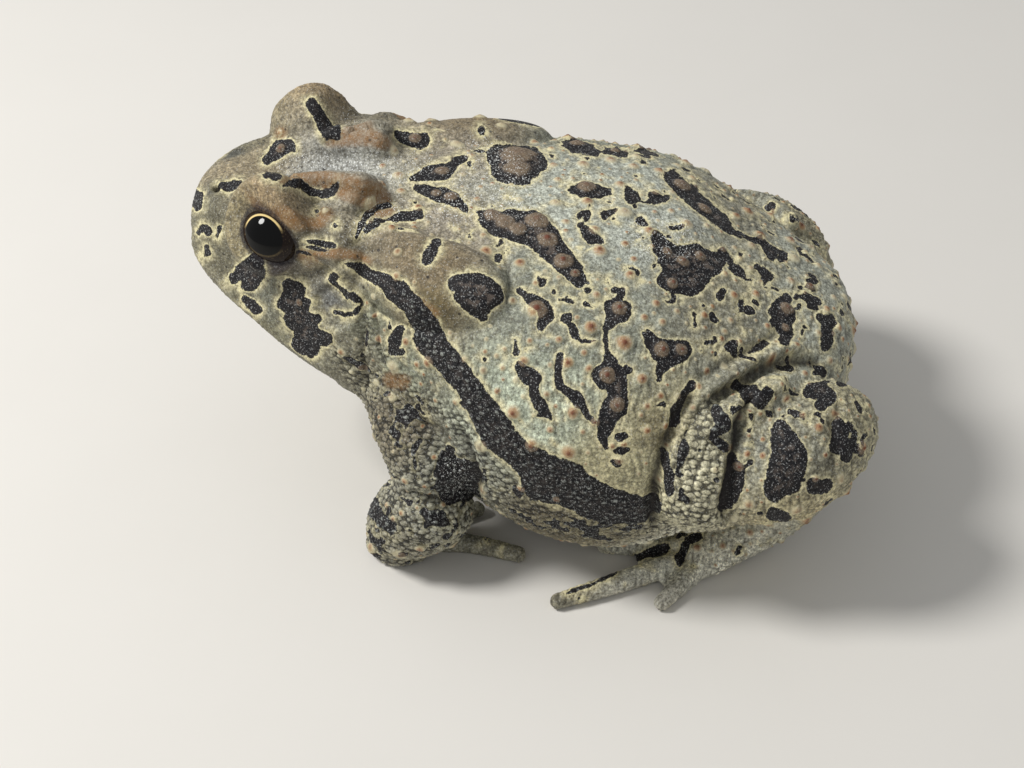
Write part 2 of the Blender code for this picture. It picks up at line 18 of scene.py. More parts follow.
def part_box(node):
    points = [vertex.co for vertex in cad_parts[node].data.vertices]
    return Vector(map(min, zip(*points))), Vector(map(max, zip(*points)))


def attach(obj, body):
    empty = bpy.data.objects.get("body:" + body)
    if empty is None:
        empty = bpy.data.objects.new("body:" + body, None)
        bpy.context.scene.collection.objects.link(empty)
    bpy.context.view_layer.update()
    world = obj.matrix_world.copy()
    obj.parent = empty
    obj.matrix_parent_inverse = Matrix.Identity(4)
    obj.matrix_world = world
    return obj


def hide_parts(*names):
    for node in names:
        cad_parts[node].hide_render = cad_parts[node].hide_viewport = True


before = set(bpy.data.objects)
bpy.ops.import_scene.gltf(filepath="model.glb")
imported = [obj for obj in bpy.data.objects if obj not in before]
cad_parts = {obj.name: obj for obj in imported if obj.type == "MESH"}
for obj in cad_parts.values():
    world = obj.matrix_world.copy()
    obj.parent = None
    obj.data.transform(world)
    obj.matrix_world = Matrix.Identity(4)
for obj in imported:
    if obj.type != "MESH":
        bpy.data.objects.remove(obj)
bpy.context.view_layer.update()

MM = 0.001
SEED = 11
SIDES = (1.0, -1.0)

# Resolution: voxels of the skin, then points round and rings along each form
VOXEL = 0.34
SECTION_POINTS = 96
HEAD_RINGS = 60
TRUNK_RINGS = 90
LIMB_POINTS = 32
LIMB_RINGS = 24
FOOT_RINGS = 40
TUBE_POINTS = 20
TUBE_RINGS_PER_KNOT = 6

# Smoothing of the joined forms: rounds, weight on the digits and added elsewhere
RELAX_ROUNDS = 10
RELAX_DIGITS = 0.12
RELAX_MORE = 0.48

# Photograph: size, focal length in pixels, and where the camera stood
PHOTO_WIDTH = 1024
PHOTO_HEIGHT = 768
FOCAL_PIXELS = 1865.7
SENSOR_WIDTH = 36.0
VIEW_AZIMUTH = 99.0
VIEW_ELEVATION = 40.0
VIEW_DISTANCE = 220.0
VIEW_TARGET = np.array((4.0, 37.95, 13.3))

# Cross sections of the head: back from the snout, half width, top height,
# height of the widest line, bottom height, squareness above, squareness below
HEAD_SECTIONS = [
    (0.6, 2.6, 33.6, 31.4, 30.2, 2.0, 2.0),
    (1.2, 4.6, 35.4, 30.6, 28.8, 2.2, 2.0),
    (2.3, 6.1, 36.6, 29.6, 27.2, 2.4, 2.1),
    (4.2, 7.7, 37.4, 28.2, 25.4, 2.6, 2.2),
    (7.0, 9.7, 37.8, 26.6, 22.4, 2.7, 2.2),
    (10.5, 11.6, 38.0, 25.0, 19.6, 2.7, 2.2),
    (14.5, 13.5, 38.2, 24.0, 17.0, 2.7, 2.2),
    (19.0, 15.5, 38.3, 23.6, 14.8, 2.8, 2.2),
    (22.0, 16.4, 38.4, 23.8, 13.4, 2.9, 2.2),
    (25.0, 17.2, 38.3, 23.8, 11.8, 2.9, 2.2),
]

# Cross sections of the trunk, in the same order of values
TRUNK_SECTIONS = [
    (25.0, 17.2, 38.3, 23.8, 11.8, 2.9, 2.2),
    (28.5, 19.0, 38.2, 23.0, 8.6, 2.8, 2.2),
    (33.0, 21.6, 38.1, 21.8, 5.2, 2.6, 2.3),
    (38.0, 24.0, 38.1, 20.6, 2.2, 2.4, 2.4),
    (43.0, 25.6, 38.0, 19.6, 0.2, 2.3, 2.4),
    (48.0, 26.2, 37.6, 19.0, -0.6, 2.25, 2.4),
    (53.0, 25.8, 36.8, 19.0, -0.6, 2.25, 2.4),
    (58.0, 24.2, 35.0, 19.0, 0.4, 2.25, 2.3),
    (63.0, 21.2, 32.6, 19.0, 2.6, 2.25, 2.3),
    (68.0, 17.2, 30.2, 19.0, 5.4, 2.3, 2.2),
    (72.0, 13.6, 28.4, 19.2, 8.6, 2.3, 2.1),
    (74.8, 9.8, 26.8, 19.6, 12.0, 2.2, 2.0),
    (76.2, 5.8, 24.8, 19.8, 15.4, 2.0, 2.0),
]

# How far the ends of the forms are drawn out: start, end
TRUNK_BULGES = (0.7, 0.8)
ARM_BULGES = (2.5, 2.6)
FOREARM_BULGES = (2.4, 1.2)
LEG_BULGES = (2.0, 3.4)
SHANK_BULGES = (2.6, 2.6)
FOOT_BULGES = (2.0, 1.0)
TUBE_BULGE = 0.6

# Limbs of the left side: centre points, half width, half height. Fingers and
# toes have one radius in place of the two halves, webs a centre and three radii.
ARM_PATH = [
    (12.2, 26.8, 21.0, 5.4, 5.4), (15.8, 28.8, 18.2, 5.2, 5.2),
    (18.6, 31.0, 14.8, 5.0, 5.0), (20.2, 32.2, 12.4, 4.8, 4.8),
]
FOREARM_PATH = [
    (20.6, 32.8, 10.2, 4.6, 4.6), (20.7, 30.8, 8.0, 5.2, 5.0),
    (20.4, 28.2, 5.2, 4.8, 4.4), (19.8, 26.6, 2.8, 3.8, 3.0),
]
HAND_CENTRE = (19.4, 27.4, 1.3)
HAND_RADII = (4.2, 4.2, 1.7)
FINGERS = [
    [(17.4, 26.0, 1.2, 1.5), (14.6, 24.4, 1.1, 1.2), (12.4, 23.6, 1.0, 1.1)],
    [(16.8, 27.0, 1.2, 1.5), (13.4, 26.6, 1.1, 1.2), (10.6, 26.8, 1.0, 1.1)],
    [(17.2, 29.0, 1.2, 1.5), (14.6, 32.2, 1.1, 1.25), (12.6, 35.6, 1.0, 1.1)],
    [(19.2, 30.2, 1.2, 1.5), (18.8, 35.6, 1.1, 1.3), (19.6, 41.6, 1.0, 1.1)],
]
LEG_PATH = [
    (9.0, 69.0, 20.0, 6.6, 6.6), (15.0, 65.4, 19.8, 6.8, 7.2),
    (19.8, 61.8, 17.4, 6.2, 7.2), (21.6, 60.8, 13.6, 5.2, 5.2),
]
SHANK_PATH = [
    (19.6, 63.8, 15.2, 4.0, 4.0), (20.0, 66.8, 17.4, 5.4, 5.6),
    (18.2, 70.4, 18.8, 6.4, 6.6), (14.6, 74.0, 19.6, 5.8, 6.0),
    (11.4, 76.2, 18.4, 4.4, 4.6),
]
FOOT_PATH = [
    (11.6, 74.6, 13.6, 3.6, 3.4), (11.6, 72.4, 7.6, 3.2, 3.0),
    (12.4, 68.6, 3.2, 3.0, 2.8), (14.8, 64.0, 1.8, 3.8, 1.9),
    (16.8, 60.4, 1.4, 4.2, 1.6),
]
TOES = [
    [(13.6, 62.4, 1.2, 1.4), (11.4, 60.4, 1.1, 1.1), (10.4, 59.2, 1.0, 1.0)],
    [(14.4, 60.6, 1.2, 1.5), (12.8, 57.2, 1.1, 1.2), (11.8, 54.6, 1.0, 1.0)],
    [(16.0, 59.4, 1.2, 1.5), (16.2, 54.6, 1.1, 1.3), (16.6, 50.4, 1.0, 1.1)],
    [(18.2, 59.4, 1.2, 1.6), (22.8, 52.4, 1.2, 1.4), (26.4, 46.2, 1.0, 1.0)],
    [(19.0, 61.6, 1.2, 1.5), (22.0, 59.8, 1.1, 1.3), (25.0, 58.0, 1.0, 1.0)],
]
WEBS = [
    ((13.4, 60.8, 0.9), (2.6, 2.4, 0.7)),
    ((15.2, 58.6, 0.9), (2.2, 2.8, 0.7)),
    ((17.8, 57.6, 0.9), (2.6, 3.0, 0.7)),
    ((20.0, 59.4, 0.9), (2.4, 2.0, 0.7)),
]

# The living skin sits closer on fingers and toes than the solid forms do
DIGIT_SLENDER = 0.86

# The far hind leg lies further outward and forward than the near one's mirror
# image
FAR_LEG_SHIFT = np.array((-2.6, -6.0, 0.0))

# Ridges on skull and hips: centre points and radius, all joined to the skin
CREST_PATH = [
    (4.0, 6.5, 37.0, 0.9), (4.4, 11.0, 37.9, 1.2), (4.6, 15.0, 38.7, 1.6),
    (4.9, 18.6, 38.9, 2.1), (5.3, 21.6, 38.7, 2.5),
]
CANTHUS_PATH = [
    (2.6, 2.6, 35.8, 0.8), (5.2, 4.8, 36.0, 1.2), (7.0, 7.6, 36.2, 1.4),
]
POST_ORBITAL_PATH = [
    (5.0, 18.6, 38.0, 1.3), (8.8, 19.6, 38.2, 1.6),
    (11.8, 20.6, 37.3, 1.8), (14.0, 21.6, 34.8, 1.5),
]
TEMPLE_PATH = [
    (9.6, 20.6, 37.2, 1.8), (10.4, 24.5, 36.6, 2.3), (11.0, 29.0, 36.2, 2.4),
]
HIP_FOLD_PATH = [
    (23.9, 55.6, 19.6, 1.2), (23.0, 59.6, 23.0, 1.5),
    (19.4, 64.4, 26.0, 1.5), (15.0, 69.0, 26.6, 1.1),
]

# Eye: centre, radius, middle and long way of the opening between the lids,
# how far the opening spreads both ways, middle and spread of the pupil
EYE_CENTRE = np.array((10.3, 12.9, 36.55))
EYE_RADIUS = 3.8
EYE_AXIS = (0.88, -0.07, 0.47)
EYE_LONG_WAY = (0.33, 0.80, -0.50)
EYE_SPREADS = (math.radians(62.0), math.radians(37.0))
PUPIL_AXIS = (0.845, -0.16, 0.51)
PUPIL_SPREADS = (math.radians(40.0), math.radians(32.0))
WART_FREE_EYE = 1.9

# Lids: the swelling over the eye and the low one behind it, how high the skin
# stands over the eyeball by its share of the opening, and the distances from
# the eye's centre between which it is drawn there
LID_CENTRE = (9.8, 12.2, 37.4)
LID_RADII = (5.3, 4.9, 5.9)
LID_REAR_CENTRE = (10.2, 17.2, 36.4)
LID_REAR_RADII = (4.0, 3.0, 2.9)
LID_SPREADS = (0.0, 0.90, 0.975, 1.02, 1.10, 1.22, 9.0)
LID_HEIGHTS = (-0.70, -0.70, 0.05, 0.24, 0.38, 0.50, 0.50)
LID_REACH = (6.7, 9.0)

# Parotoid gland: centre, radii, tilt and turn in degrees
GLAND_CENTRE = (14.0, 31.0, 34.6)
GLAND_RADII = (5.0, 9.0, 3.2)
GLAND_TILT = 42.0
GLAND_YAW = -12.0

# Eardrum: centre and radius. Nostril: a disc in the photograph.
EARDRUM_CENTRE = np.array((14.1, 20.4, 30.6))
EARDRUM_REACH = 2.7
NOSTRIL = [(216.5, 189, 3.4)]

# The line of the lips rises from the corner of the mouth to the snout: each
# end as distance back from the snout and height
MOUTH_FRONT = (-4.0, 30.2)
MOUTH_CORNER = (19.5, 21.2)

# Soft rises (plus) and hollows (minus): centre, radii, push. They are on both
# sides, but once only where the first value is 0, which is the middle, or has
# a minus sign, which is the right side.
SWELLS = [
    ((8.8, 7.6, 31.0), (3.0, 4.2, 3.4), -0.7),
    ((0.0, 15.0, 38.4), (3.6, 10.0, 3.0), -1.3),
    ((8.6, 17.6, 42.6), (5.6, 4.4, 4.6), -1.5),
    ((-12.7, 16.4, 40.4), (3.8, 3.6, 4.0), -0.8),
    ((14.0, 34.0, 38.6), (5.0, 9.0, 3.2), -0.7),
    ((12.6, 13.0, 27.4), (3.5, 5.0, 3.2), 0.5),
    ((16.6, 24.4, 21.0), (4.0, 2.6, 6.0), -0.6),
    ((0.0, 57.0, 35.6), (6.0, 6.0, 4.0), 0.5),
    ((5.0, 4.4, 33.4), (3.0, 2.6, 2.4), 0.3),
]

# Colours, linear
DARK = (0.004, 0.004, 0.006, 1.0)
DARK_WARM = (0.016, 0.013, 0.013, 1.0)
RIM_CREAM = (0.80, 0.73, 0.43, 1.0)
HALO_CREAM = (0.60, 0.54, 0.33, 1.0)
WART_CREAM = (0.66, 0.60, 0.39, 1.0)
WART_ORANGE = (0.46, 0.25, 0.115, 1.0)
WART_UMBER = (0.19, 0.142, 0.095, 1.0)
TIP_RUST = (0.15, 0.038, 0.018, 1.0)
CREST_BROWN = (0.26, 0.142, 0.055, 1.0)
SKIN_BALANCE = (0.83, 0.815, 0.76, 1.0)
GRAIN_PALE = (0.34, 0.36, 0.33, 1.0)
MARK_INNER = (0.125, 0.100, 0.082, 1.0)
OLIVE_FLECK = (0.120, 0.098, 0.060, 1.0)
# Painted shade: the dark of creases, the lip groove and the nostril's pit
CREASE_SHADE = (0.016, 0.013, 0.012, 1.0)
LID_SHADE = (0.014, 0.011, 0.014, 1.0)
SAND_WHITE = (0.84, 0.86, 0.84, 1.0)
IRIS_GOLD = (0.78, 0.60, 0.27, 1.0)
IRIS_BROWN = (0.012, 0.006, 0.004, 1.0)
PUPIL_BLACK = (0.002, 0.002, 0.002, 1.0)
FLOOR_PALE = (0.72, 0.70, 0.66, 1.0)
FLOOR_GREY = (0.66, 0.64, 0.60, 1.0)
KEY_WHITE = (1.0, 0.985, 0.96)
SKY_WHITE = (0.98, 0.99, 1.0)

# Floor: half its width and its depth below zero, in metres
FLOOR_HALF = 0.6
FLOOR_DEPTH = 0.00002

# Light: way to the key light, its distance and size in metres and its power,
# then the strength of the sky
KEY_WAY = (0.15, -0.60, 0.78)
KEY_DISTANCE = 0.5
KEY_SIZE = 0.14
KEY_POWER = 2.1
SKY_STRENGTH = 0.44

# Tones of skin regions: pixel, reach in millimetres, linear colour
REGION_TONES = {
    "snout tip": ((203, 218), 4.0, (0.205, 0.195, 0.14)),
    "nostril ring": ((216, 190), 1.4, (0.10, 0.105, 0.10)),
    "bridge of the nose": ((240, 165), 4.5, (0.36, 0.305, 0.21)),
    "side of the snout": ((236, 225), 4.0, (0.32, 0.275, 0.165)),
    "upper lid": ((262, 196), 3.0, (0.38, 0.29, 0.18)),
    "far lid": ((290, 115), 4.0, (0.37, 0.33, 0.19)),
    "skull between the crests": ((335, 165), 4.5, (0.42, 0.435, 0.44)),
    "behind the eye": ((318, 248), 2.2, (0.13, 0.12, 0.09)),
    "lower lid": ((275, 268), 1.8, (0.12, 0.105, 0.11)),
    "cheek": ((268, 300), 3.0, (0.21, 0.215, 0.17)),
    "upper lip": ((262, 325), 2.6, (0.26, 0.25, 0.17)),
    "eardrum": ((336, 300), 1.8, (0.165, 0.17, 0.17)),
    "around the eardrum": ((352, 275), 2.2, (0.25, 0.24, 0.19)),
    "behind the eardrum": ((372, 312), 3.0, (0.27, 0.28, 0.21)),
    "throat corner": ((352, 360), 3.0, (0.30, 0.29, 0.22)),
    "parotoid gland": ((430, 262), 5.5, (0.31, 0.245, 0.15)),
    "gland's lower edge": ((430, 305), 3.0, (0.22, 0.175, 0.085)),
    "neck": ((405, 366), 3.0, (0.27, 0.29, 0.225)),
    "shoulders": ((450, 230), 5.0, (0.38, 0.345, 0.285)),
    "far shoulders": ((440, 125), 6.0, (0.74, 0.72, 0.57)),
    "middle of the back": ((600, 215), 9.0, (0.54, 0.58, 0.53)),
    "upper flank": ((560, 300), 7.0, (0.30, 0.32, 0.27)),
    "lower flank": ((530, 405), 6.0, (0.60, 0.67, 0.55)),
    "flank by the hip": ((610, 470), 5.0, (0.64, 0.60, 0.39)),
    "loin": ((720, 300), 6.0, (0.31, 0.305, 0.245)),
    "rump": ((800, 330), 5.0, (0.48, 0.51, 0.45)),
    "groin": ((660, 430), 3.0, (0.38, 0.34, 0.21)),
    "knee": ((690, 470), 4.0, (0.58, 0.56, 0.42)),
    "calf": ((770, 435), 4.0, (0.30, 0.31, 0.27)),
    "heel": ((845, 405), 4.0, (0.36, 0.34, 0.24)),
    # Foot and inner foot: tones lightened to offset the body's shadow on the foot, painted light
    "foot": ((650, 556), 4.0, (0.90, 0.90, 0.80)),
    "inner foot": ((708, 548), 3.4, (0.94, 0.93, 0.82)),
    "tarsus": ((790, 518), 3.6, (0.56, 0.50, 0.32)),
    "toes": ((655, 600), 3.0, (0.55, 0.54, 0.48)),
    "upper arm": ((395, 425), 4.0, (0.19, 0.17, 0.125)),
    "elbow": ((380, 480), 4.0, (0.28, 0.25, 0.175)),
    "forearm": ((440, 500), 4.0, (0.35, 0.35, 0.29)),
    "wrist": ((395, 545), 4.0, (0.28, 0.27, 0.215)),
    # The belly's dark tone is painted shade of the underside
    "belly": ((560, 525), 6.0, (0.18, 0.16, 0.11)),
    "chest": ((470, 470), 4.0, (0.28, 0.29, 0.25)),
}

# Marks are strings of discs in the photograph: pixel x, y and radius. Their
# sizes in millimetres: how far around one is looked at, the gap of a point that
# no mark is near, and how much wider than the discs the searched balls are.
MARK_REACH = 2.4
NO_MARK = 9.0
BALL_MARGIN = 1.3

# A mark is mirrored where its twin faces the camera by less than this
TWIN_FACING = 0.12

# Dark marks
DARK_MARKS = {
    "snout high": [(199, 195, 4.5), (198, 206, 5)],
    "snout middle": [(199, 233, 2.5), (203, 227, 3.5), (208, 232, 3.5)],
    "snout side": [(220, 228, 2.5), (218, 236, 3)],
    "snout low": [(207, 247, 2.5), (208, 255, 2.5)],
    "nostril": [(219, 188, 3.5), (226, 187, 6), (234, 185, 5), (240, 183, 2.5)],
    "between the eyes": [
        (265, 160, 4), (273, 155, 6), (281, 147, 8), (291, 146, 6), (295, 151, 2.5),
    ],
    "between the eyes, low": [(267, 174, 3.5), (278, 177, 4)],
    "far lid bar": [(312, 103, 6), (318, 112, 6), (323, 122, 7), (329, 132, 8), (337, 136, 4)],
    "near lid streak": [
        (284, 186, 2.5), (292, 184, 2.5), (302, 186, 3), (312, 191, 4), (321, 194, 5),
        (331, 192, 5), (338, 187, 3),
    ],
    "lid dots": [(317, 212, 2.2)],
    "lid dot low": [(335, 226, 2.2)],
    "eye corner high": [(311, 241, 1.5), (322, 243, 2.5), (334, 246, 3)],
    "eye corner middle": [(318, 250, 1.8), (330, 252, 2)],
    "eye corner low": [(312, 260, 1.8), (321, 258, 2)],
    "gland front": [
        (357, 236, 3), (360, 226, 3.5), (368, 214, 3), (379, 208, 3), (388, 206, 2.5),
    ],
    "gland top": [
        (366, 231, 3), (376, 224, 3.5), (387, 220, 3.5), (400, 217, 4), (412, 216, 5),
        (419, 215, 4),
    ],
    "cheek front": [(234, 277, 6), (243, 272, 9), (251, 263, 7), (256, 274, 9), (249, 285, 8)],
    "lip spot": [(246, 297, 3), (253, 303, 4), (259, 310, 3)],
    "cheek": [
        (288, 285, 7), (297, 290, 10), (290, 302, 12), (303, 306, 10), (297, 318, 13),
        (312, 320, 9), (305, 332, 11), (325, 338, 7), (300, 340, 7), (314, 349, 7),
    ],
    "eardrum arc": [
        (333, 278, 4.5), (339, 287, 3.5), (347, 295, 4.5), (356, 298, 4.5), (361, 304, 3),
        (356, 312, 3),
    ],
    "eardrum under": [(334, 313, 1.5), (343, 316, 1.8), (352, 314, 1.5)],
    "neck spot": [(399, 330, 4), (395, 342, 7), (393, 350, 5), (401, 352, 3.5)],
    "behind the far crest": [(398, 134, 4), (405, 138, 7), (415, 141, 9), (424, 139, 7)],
    "shoulder far": [
        (413, 179, 3), (422, 176, 5.5), (433, 173, 8.5), (443, 171, 9), (452, 166, 6),
        (459, 161, 4.5), (463, 158, 3),
    ],
    "shoulder dot": [(470, 165, 2.5)],
    "shoulder near": [
        (416, 188, 2.5), (424, 190, 5), (434, 194, 7.5), (445, 196, 7.5), (456, 201, 6),
        (463, 207, 4), (467, 212, 2),
    ],
    "far dot": [(481, 130, 4.8)],
    "back oval": [(500, 158, 14), (508, 162, 20), (519, 164, 21), (530, 163, 16)],
    "back comma": [
        (476, 212, 2.5), (483, 215, 6), (492, 220, 11), (502, 225, 14), (516, 226, 16.5),
        (531, 229, 17.5), (546, 242, 15), (560, 258, 12.5), (573, 270, 9.5), (580, 278, 6),
    ],
    "back lens": [(572, 190, 5), (585, 192, 8.5), (598, 193, 7), (608, 193, 3)],
    "far lens": [(565, 144, 3), (575, 146, 7), (588, 150, 6), (596, 152, 4)],
    "far lens rear": [(606, 151, 4), (615, 152, 6), (624, 155, 4)],
    "back pair": [(629, 192, 5), (633, 197, 8)],
    "back pair rear": [(650, 195, 4), (656, 199, 6), (664, 199, 4)],
    "back fleck": [(579, 217, 3.5)],
    "back hook": [(586, 230, 4.5), (590, 239, 6), (600, 242, 3.5)],
    "back fleck rear": [(606, 214, 5), (613, 212, 3)],
    "back fleck low": [(639, 221, 4), (646, 226, 2.5)],
    "back stripe": [
        (671, 177, 7), (681, 187, 9), (694, 198, 8), (706, 208, 8.5), (719, 219, 8),
        (728, 228, 5), (741, 237, 2),
    ],
    "loin triangle": [
        (656, 236, 6), (664, 250, 10), (675, 262, 16), (692, 262, 19), (708, 264, 15),
        (720, 258, 8), (690, 280, 16), (668, 280, 11),
    ],
    "loin fleck": [(728, 258, 3), (733, 266, 5), (741, 273, 5), (745, 280, 2.5), (757, 281, 2)],
    "loin spot": [(757, 268, 3), (764, 273, 5), (770, 277, 3.5)],
    "loin curve": [(757, 239, 2), (763, 248, 2.5), (771, 255, 2.5), (779, 252, 1.6)],
    "loin drop": [(741, 303, 4.5), (741, 310, 4)],
    "loin dash": [(720, 296, 3), (724, 291, 2.5)],
    "loin crumbs": [(703, 306, 2)],
    "loin bar": [(694, 315, 2.5), (695, 326, 3)],
    "rump spot": [
        (786, 299, 5), (777, 310, 8.5), (784, 316, 11), (783, 326, 9), (787, 334, 7),
        (782, 343, 6),
    ],
    "rump bar": [(797, 296, 3), (806, 295, 2.5), (813, 297, 3), (818, 301, 3.5), (810, 304, 2.5)],
    "rump rear": [(820, 318, 5), (827, 322, 7), (826, 336, 7), (825, 348, 5)],
    "hip flecks": [(706, 342, 3), (714, 341, 4)],
    "hip spot": [(731, 347, 6), (735, 353, 3)],
    "hip streak": [(750, 352, 3), (757, 348, 3.5), (766, 343, 3.5)],
    "flank comma": [
        (519, 291, 4), (525, 296, 5), (533, 302, 8), (543, 309, 8), (546, 318, 8),
        (541, 326, 6),
    ],
    "flank dot": [(579, 282, 5.5)],
    "flank chain": [
        (614, 290, 4), (622, 291, 4.5), (619, 298, 4), (612, 308, 9), (620, 312, 11),
        (612, 320, 6), (606, 330, 3), (605, 342, 3), (607, 352, 4), (610, 362, 6),
        (603, 376, 13), (613, 377, 12), (618, 390, 10), (618, 402, 11), (611, 412, 11),
        (605, 424, 9), (602, 436, 6), (606, 447, 3),
    ],
    "flank hook": [
        (572, 326, 2.5), (575, 336, 3), (581, 341, 2.5), (590, 342, 2), (596, 341, 1.8),
    ],
    "flank tick": [(515, 340, 2.5), (516, 352, 3)],
    "flank leaf": [
        (520, 368, 6), (527, 376, 9), (537, 378, 6), (534, 388, 4), (535, 396, 4),
        (540, 404, 6), (546, 412, 5), (552, 420, 2),
    ],
    "flank ribbon": [
        (560, 355, 3), (559, 363, 3), (558, 376, 3.5), (561, 386, 4), (568, 393, 6),
        (577, 400, 7), (583, 407, 5), (588, 416, 4), (593, 421, 3),
    ],
    "hip triangle": [
        (648, 331, 3), (652, 342, 8), (661, 350, 12), (672, 351, 10), (684, 349, 9),
        (668, 361, 9), (660, 372, 5), (659, 379, 3),
    ],
    "hip dash": [(653, 406, 2), (662, 404, 2)],
    "hip shadow": [(690, 385, 4), (684, 398, 6), (678, 410, 6), (674, 424, 5)],
    "gland spot": [
        (457, 284, 9), (468, 287, 13), (484, 291, 14), (492, 296, 10), (478, 303, 15),
        (464, 296, 11), (481, 316, 6),
    ],
    "gland streak": [(437, 243, 3), (433, 252, 6), (426, 262, 5)],
    "gland tick": [(499, 257, 4)],
    "belly spot": [(548, 522, 3), (556, 525, 3.5)],
    "arm patch": [(449, 462, 9), (458, 472, 14), (462, 486, 15), (450, 492, 13), (442, 486, 8)],
    "arm bar": [(372, 500, 6), (376, 511, 8), (384, 523, 6), (392, 532, 3)],
    "arm fleck": [(402, 498, 3), (410, 503, 3.5)],
    "arm line": [(420, 440, 3), (413, 452, 2), (416, 466, 3)],
    "arm low": [(424, 512, 4), (432, 520, 5), (426, 527, 3)],
    "knee high": [(716, 410, 6), (722, 425, 8), (712, 438, 5), (725, 447, 6)],
    "knee front": [(664, 452, 4), (668, 470, 6), (670, 490, 5)],
    "knee rear": [(733, 458, 5), (737, 470, 7), (737, 484, 8), (729, 498, 8), (722, 511, 5)],
    "thigh top": [(738, 384, 6), (750, 392, 9), (762, 402, 7), (768, 391, 6)],
    "calf spot": [
        (781, 430, 9), (785, 445, 16), (788, 460, 19), (783, 475, 18), (776, 488, 13),
        (790, 484, 10),
    ],
    "calf outer": [(848, 424, 3), (853, 434, 4), (852, 446, 4.5), (860, 455, 3)],
    "calf shoulder": [(856, 403, 3.5), (860, 411, 3)],
    "calf ridge": [(868, 396, 2.5), (872, 407, 2)],
    "calf top": [(810, 392, 7), (822, 390, 9), (830, 398, 8), (822, 405, 6)],
    "calf rear": [(837, 421, 5), (842, 432, 8), (840, 446, 9), (850, 442, 6), (846, 456, 6)],
    "heel top": [(840, 384, 3), (852, 381, 3.5), (862, 387, 3)],
    "calf low": [(815, 486, 8), (825, 485, 7)],
    "calf edge": [(773, 514, 6), (784, 516, 6)],
    "foot stripe": [(638, 558, 4), (652, 552, 5.5), (666, 548, 4.5)],
    "toe line": [(566, 594, 1.5), (590, 585, 2), (615, 573, 2)],
    "ankle": [(690, 540, 4), (699, 536, 4)],
    "foot fork": [(686, 546, 3.5), (681, 556, 4), (679, 564, 3)],
}

# The dark, finely granular band from the eye along the flank
SIDE_BAND = {
    "front": [
        (343, 263, 2.5), (357, 267, 5), (370, 273, 7), (384, 282, 8.5), (397, 292, 11.5),
        (411, 304, 11), (420, 318, 12), (428, 333, 15), (434, 346, 14),
    ],
    "middle": [
        (436, 346, 14), (445, 356, 13), (457, 372, 13), (469, 388, 12), (482, 408, 14),
        (491, 424, 17), (503, 440, 17), (520, 453, 15),
    ],
    "rear": [
        (522, 455, 15), (535, 466, 18), (545, 478, 24), (565, 482, 24), (585, 495, 20),
        (605, 506, 18), (630, 510, 16), (650, 508, 12),
    ],
}

# Brown marks, drawn with a softer edge
BROWN_MARKS = {
    "near crest": [
        (284, 181, 3), (300, 180, 5), (322, 182, 6), (345, 190, 9), (366, 196, 11),
        (380, 200, 10),
    ],
    "far crest": [(330, 142, 4), (350, 138, 7), (370, 137, 8), (384, 143, 6)],
    "lid edge": [
        (250, 199, 3), (262, 200, 4), (276, 208, 5), (290, 217, 6), (303, 224, 6),
        (316, 224, 5), (327, 216, 6),
    ],
    "far lid wart": [(281, 133, 5)],
    "canthus": [(244, 190, 3), (252, 194, 4)],
    "temple": [(312, 262, 3), (325, 255, 4), (340, 253, 4.5), (356, 256, 4), (370, 262, 3)],
    "gland rim": [(394, 290, 5), (412, 300, 6), (432, 314, 6)],
    "neck patch": [(392, 379, 7), (403, 381, 7)],
    "gland fore": [(376, 213, 4), (390, 212, 4)],
}

# Where pale grit lies on the skin
SAND_MARKS = {
    "between the crests": [
        (285, 168, 7), (310, 163, 10), (340, 164, 11), (372, 166, 14), (400, 172, 14),
        (425, 160, 10),
    ],
    "upper arm": [(454, 468, 9), (459, 484, 8)],
    "shoulders": [(470, 190, 22), (440, 215, 12), (520, 195, 18), (480, 150, 14)],
    "behind the near crest": [(395, 205, 12), (352, 232, 8)],
    "far lid": [(345, 115, 6), (352, 128, 6)],
    "loin": [(680, 235, 20), (640, 240, 20)],
}

# Where the skin is set with coarse, separate granules
COARSE_MARKS = {
    "thigh": [(712, 412, 16), (702, 440, 26), (697, 470, 28), (694, 500, 24)],
    "throat side": [(366, 316, 5), (367, 338, 8), (362, 356, 9)],
    "throat": [(338, 352, 8), (352, 366, 14), (372, 384, 18), (398, 396, 16)],
    "neck": [(380, 345, 6), (392, 368, 9), (415, 392, 11), (440, 412, 11)],
    "below the band": [
        (455, 420, 12), (476, 462, 18), (505, 492, 18), (545, 520, 16), (600, 532, 14),
        (645, 530, 12),
    ],
}

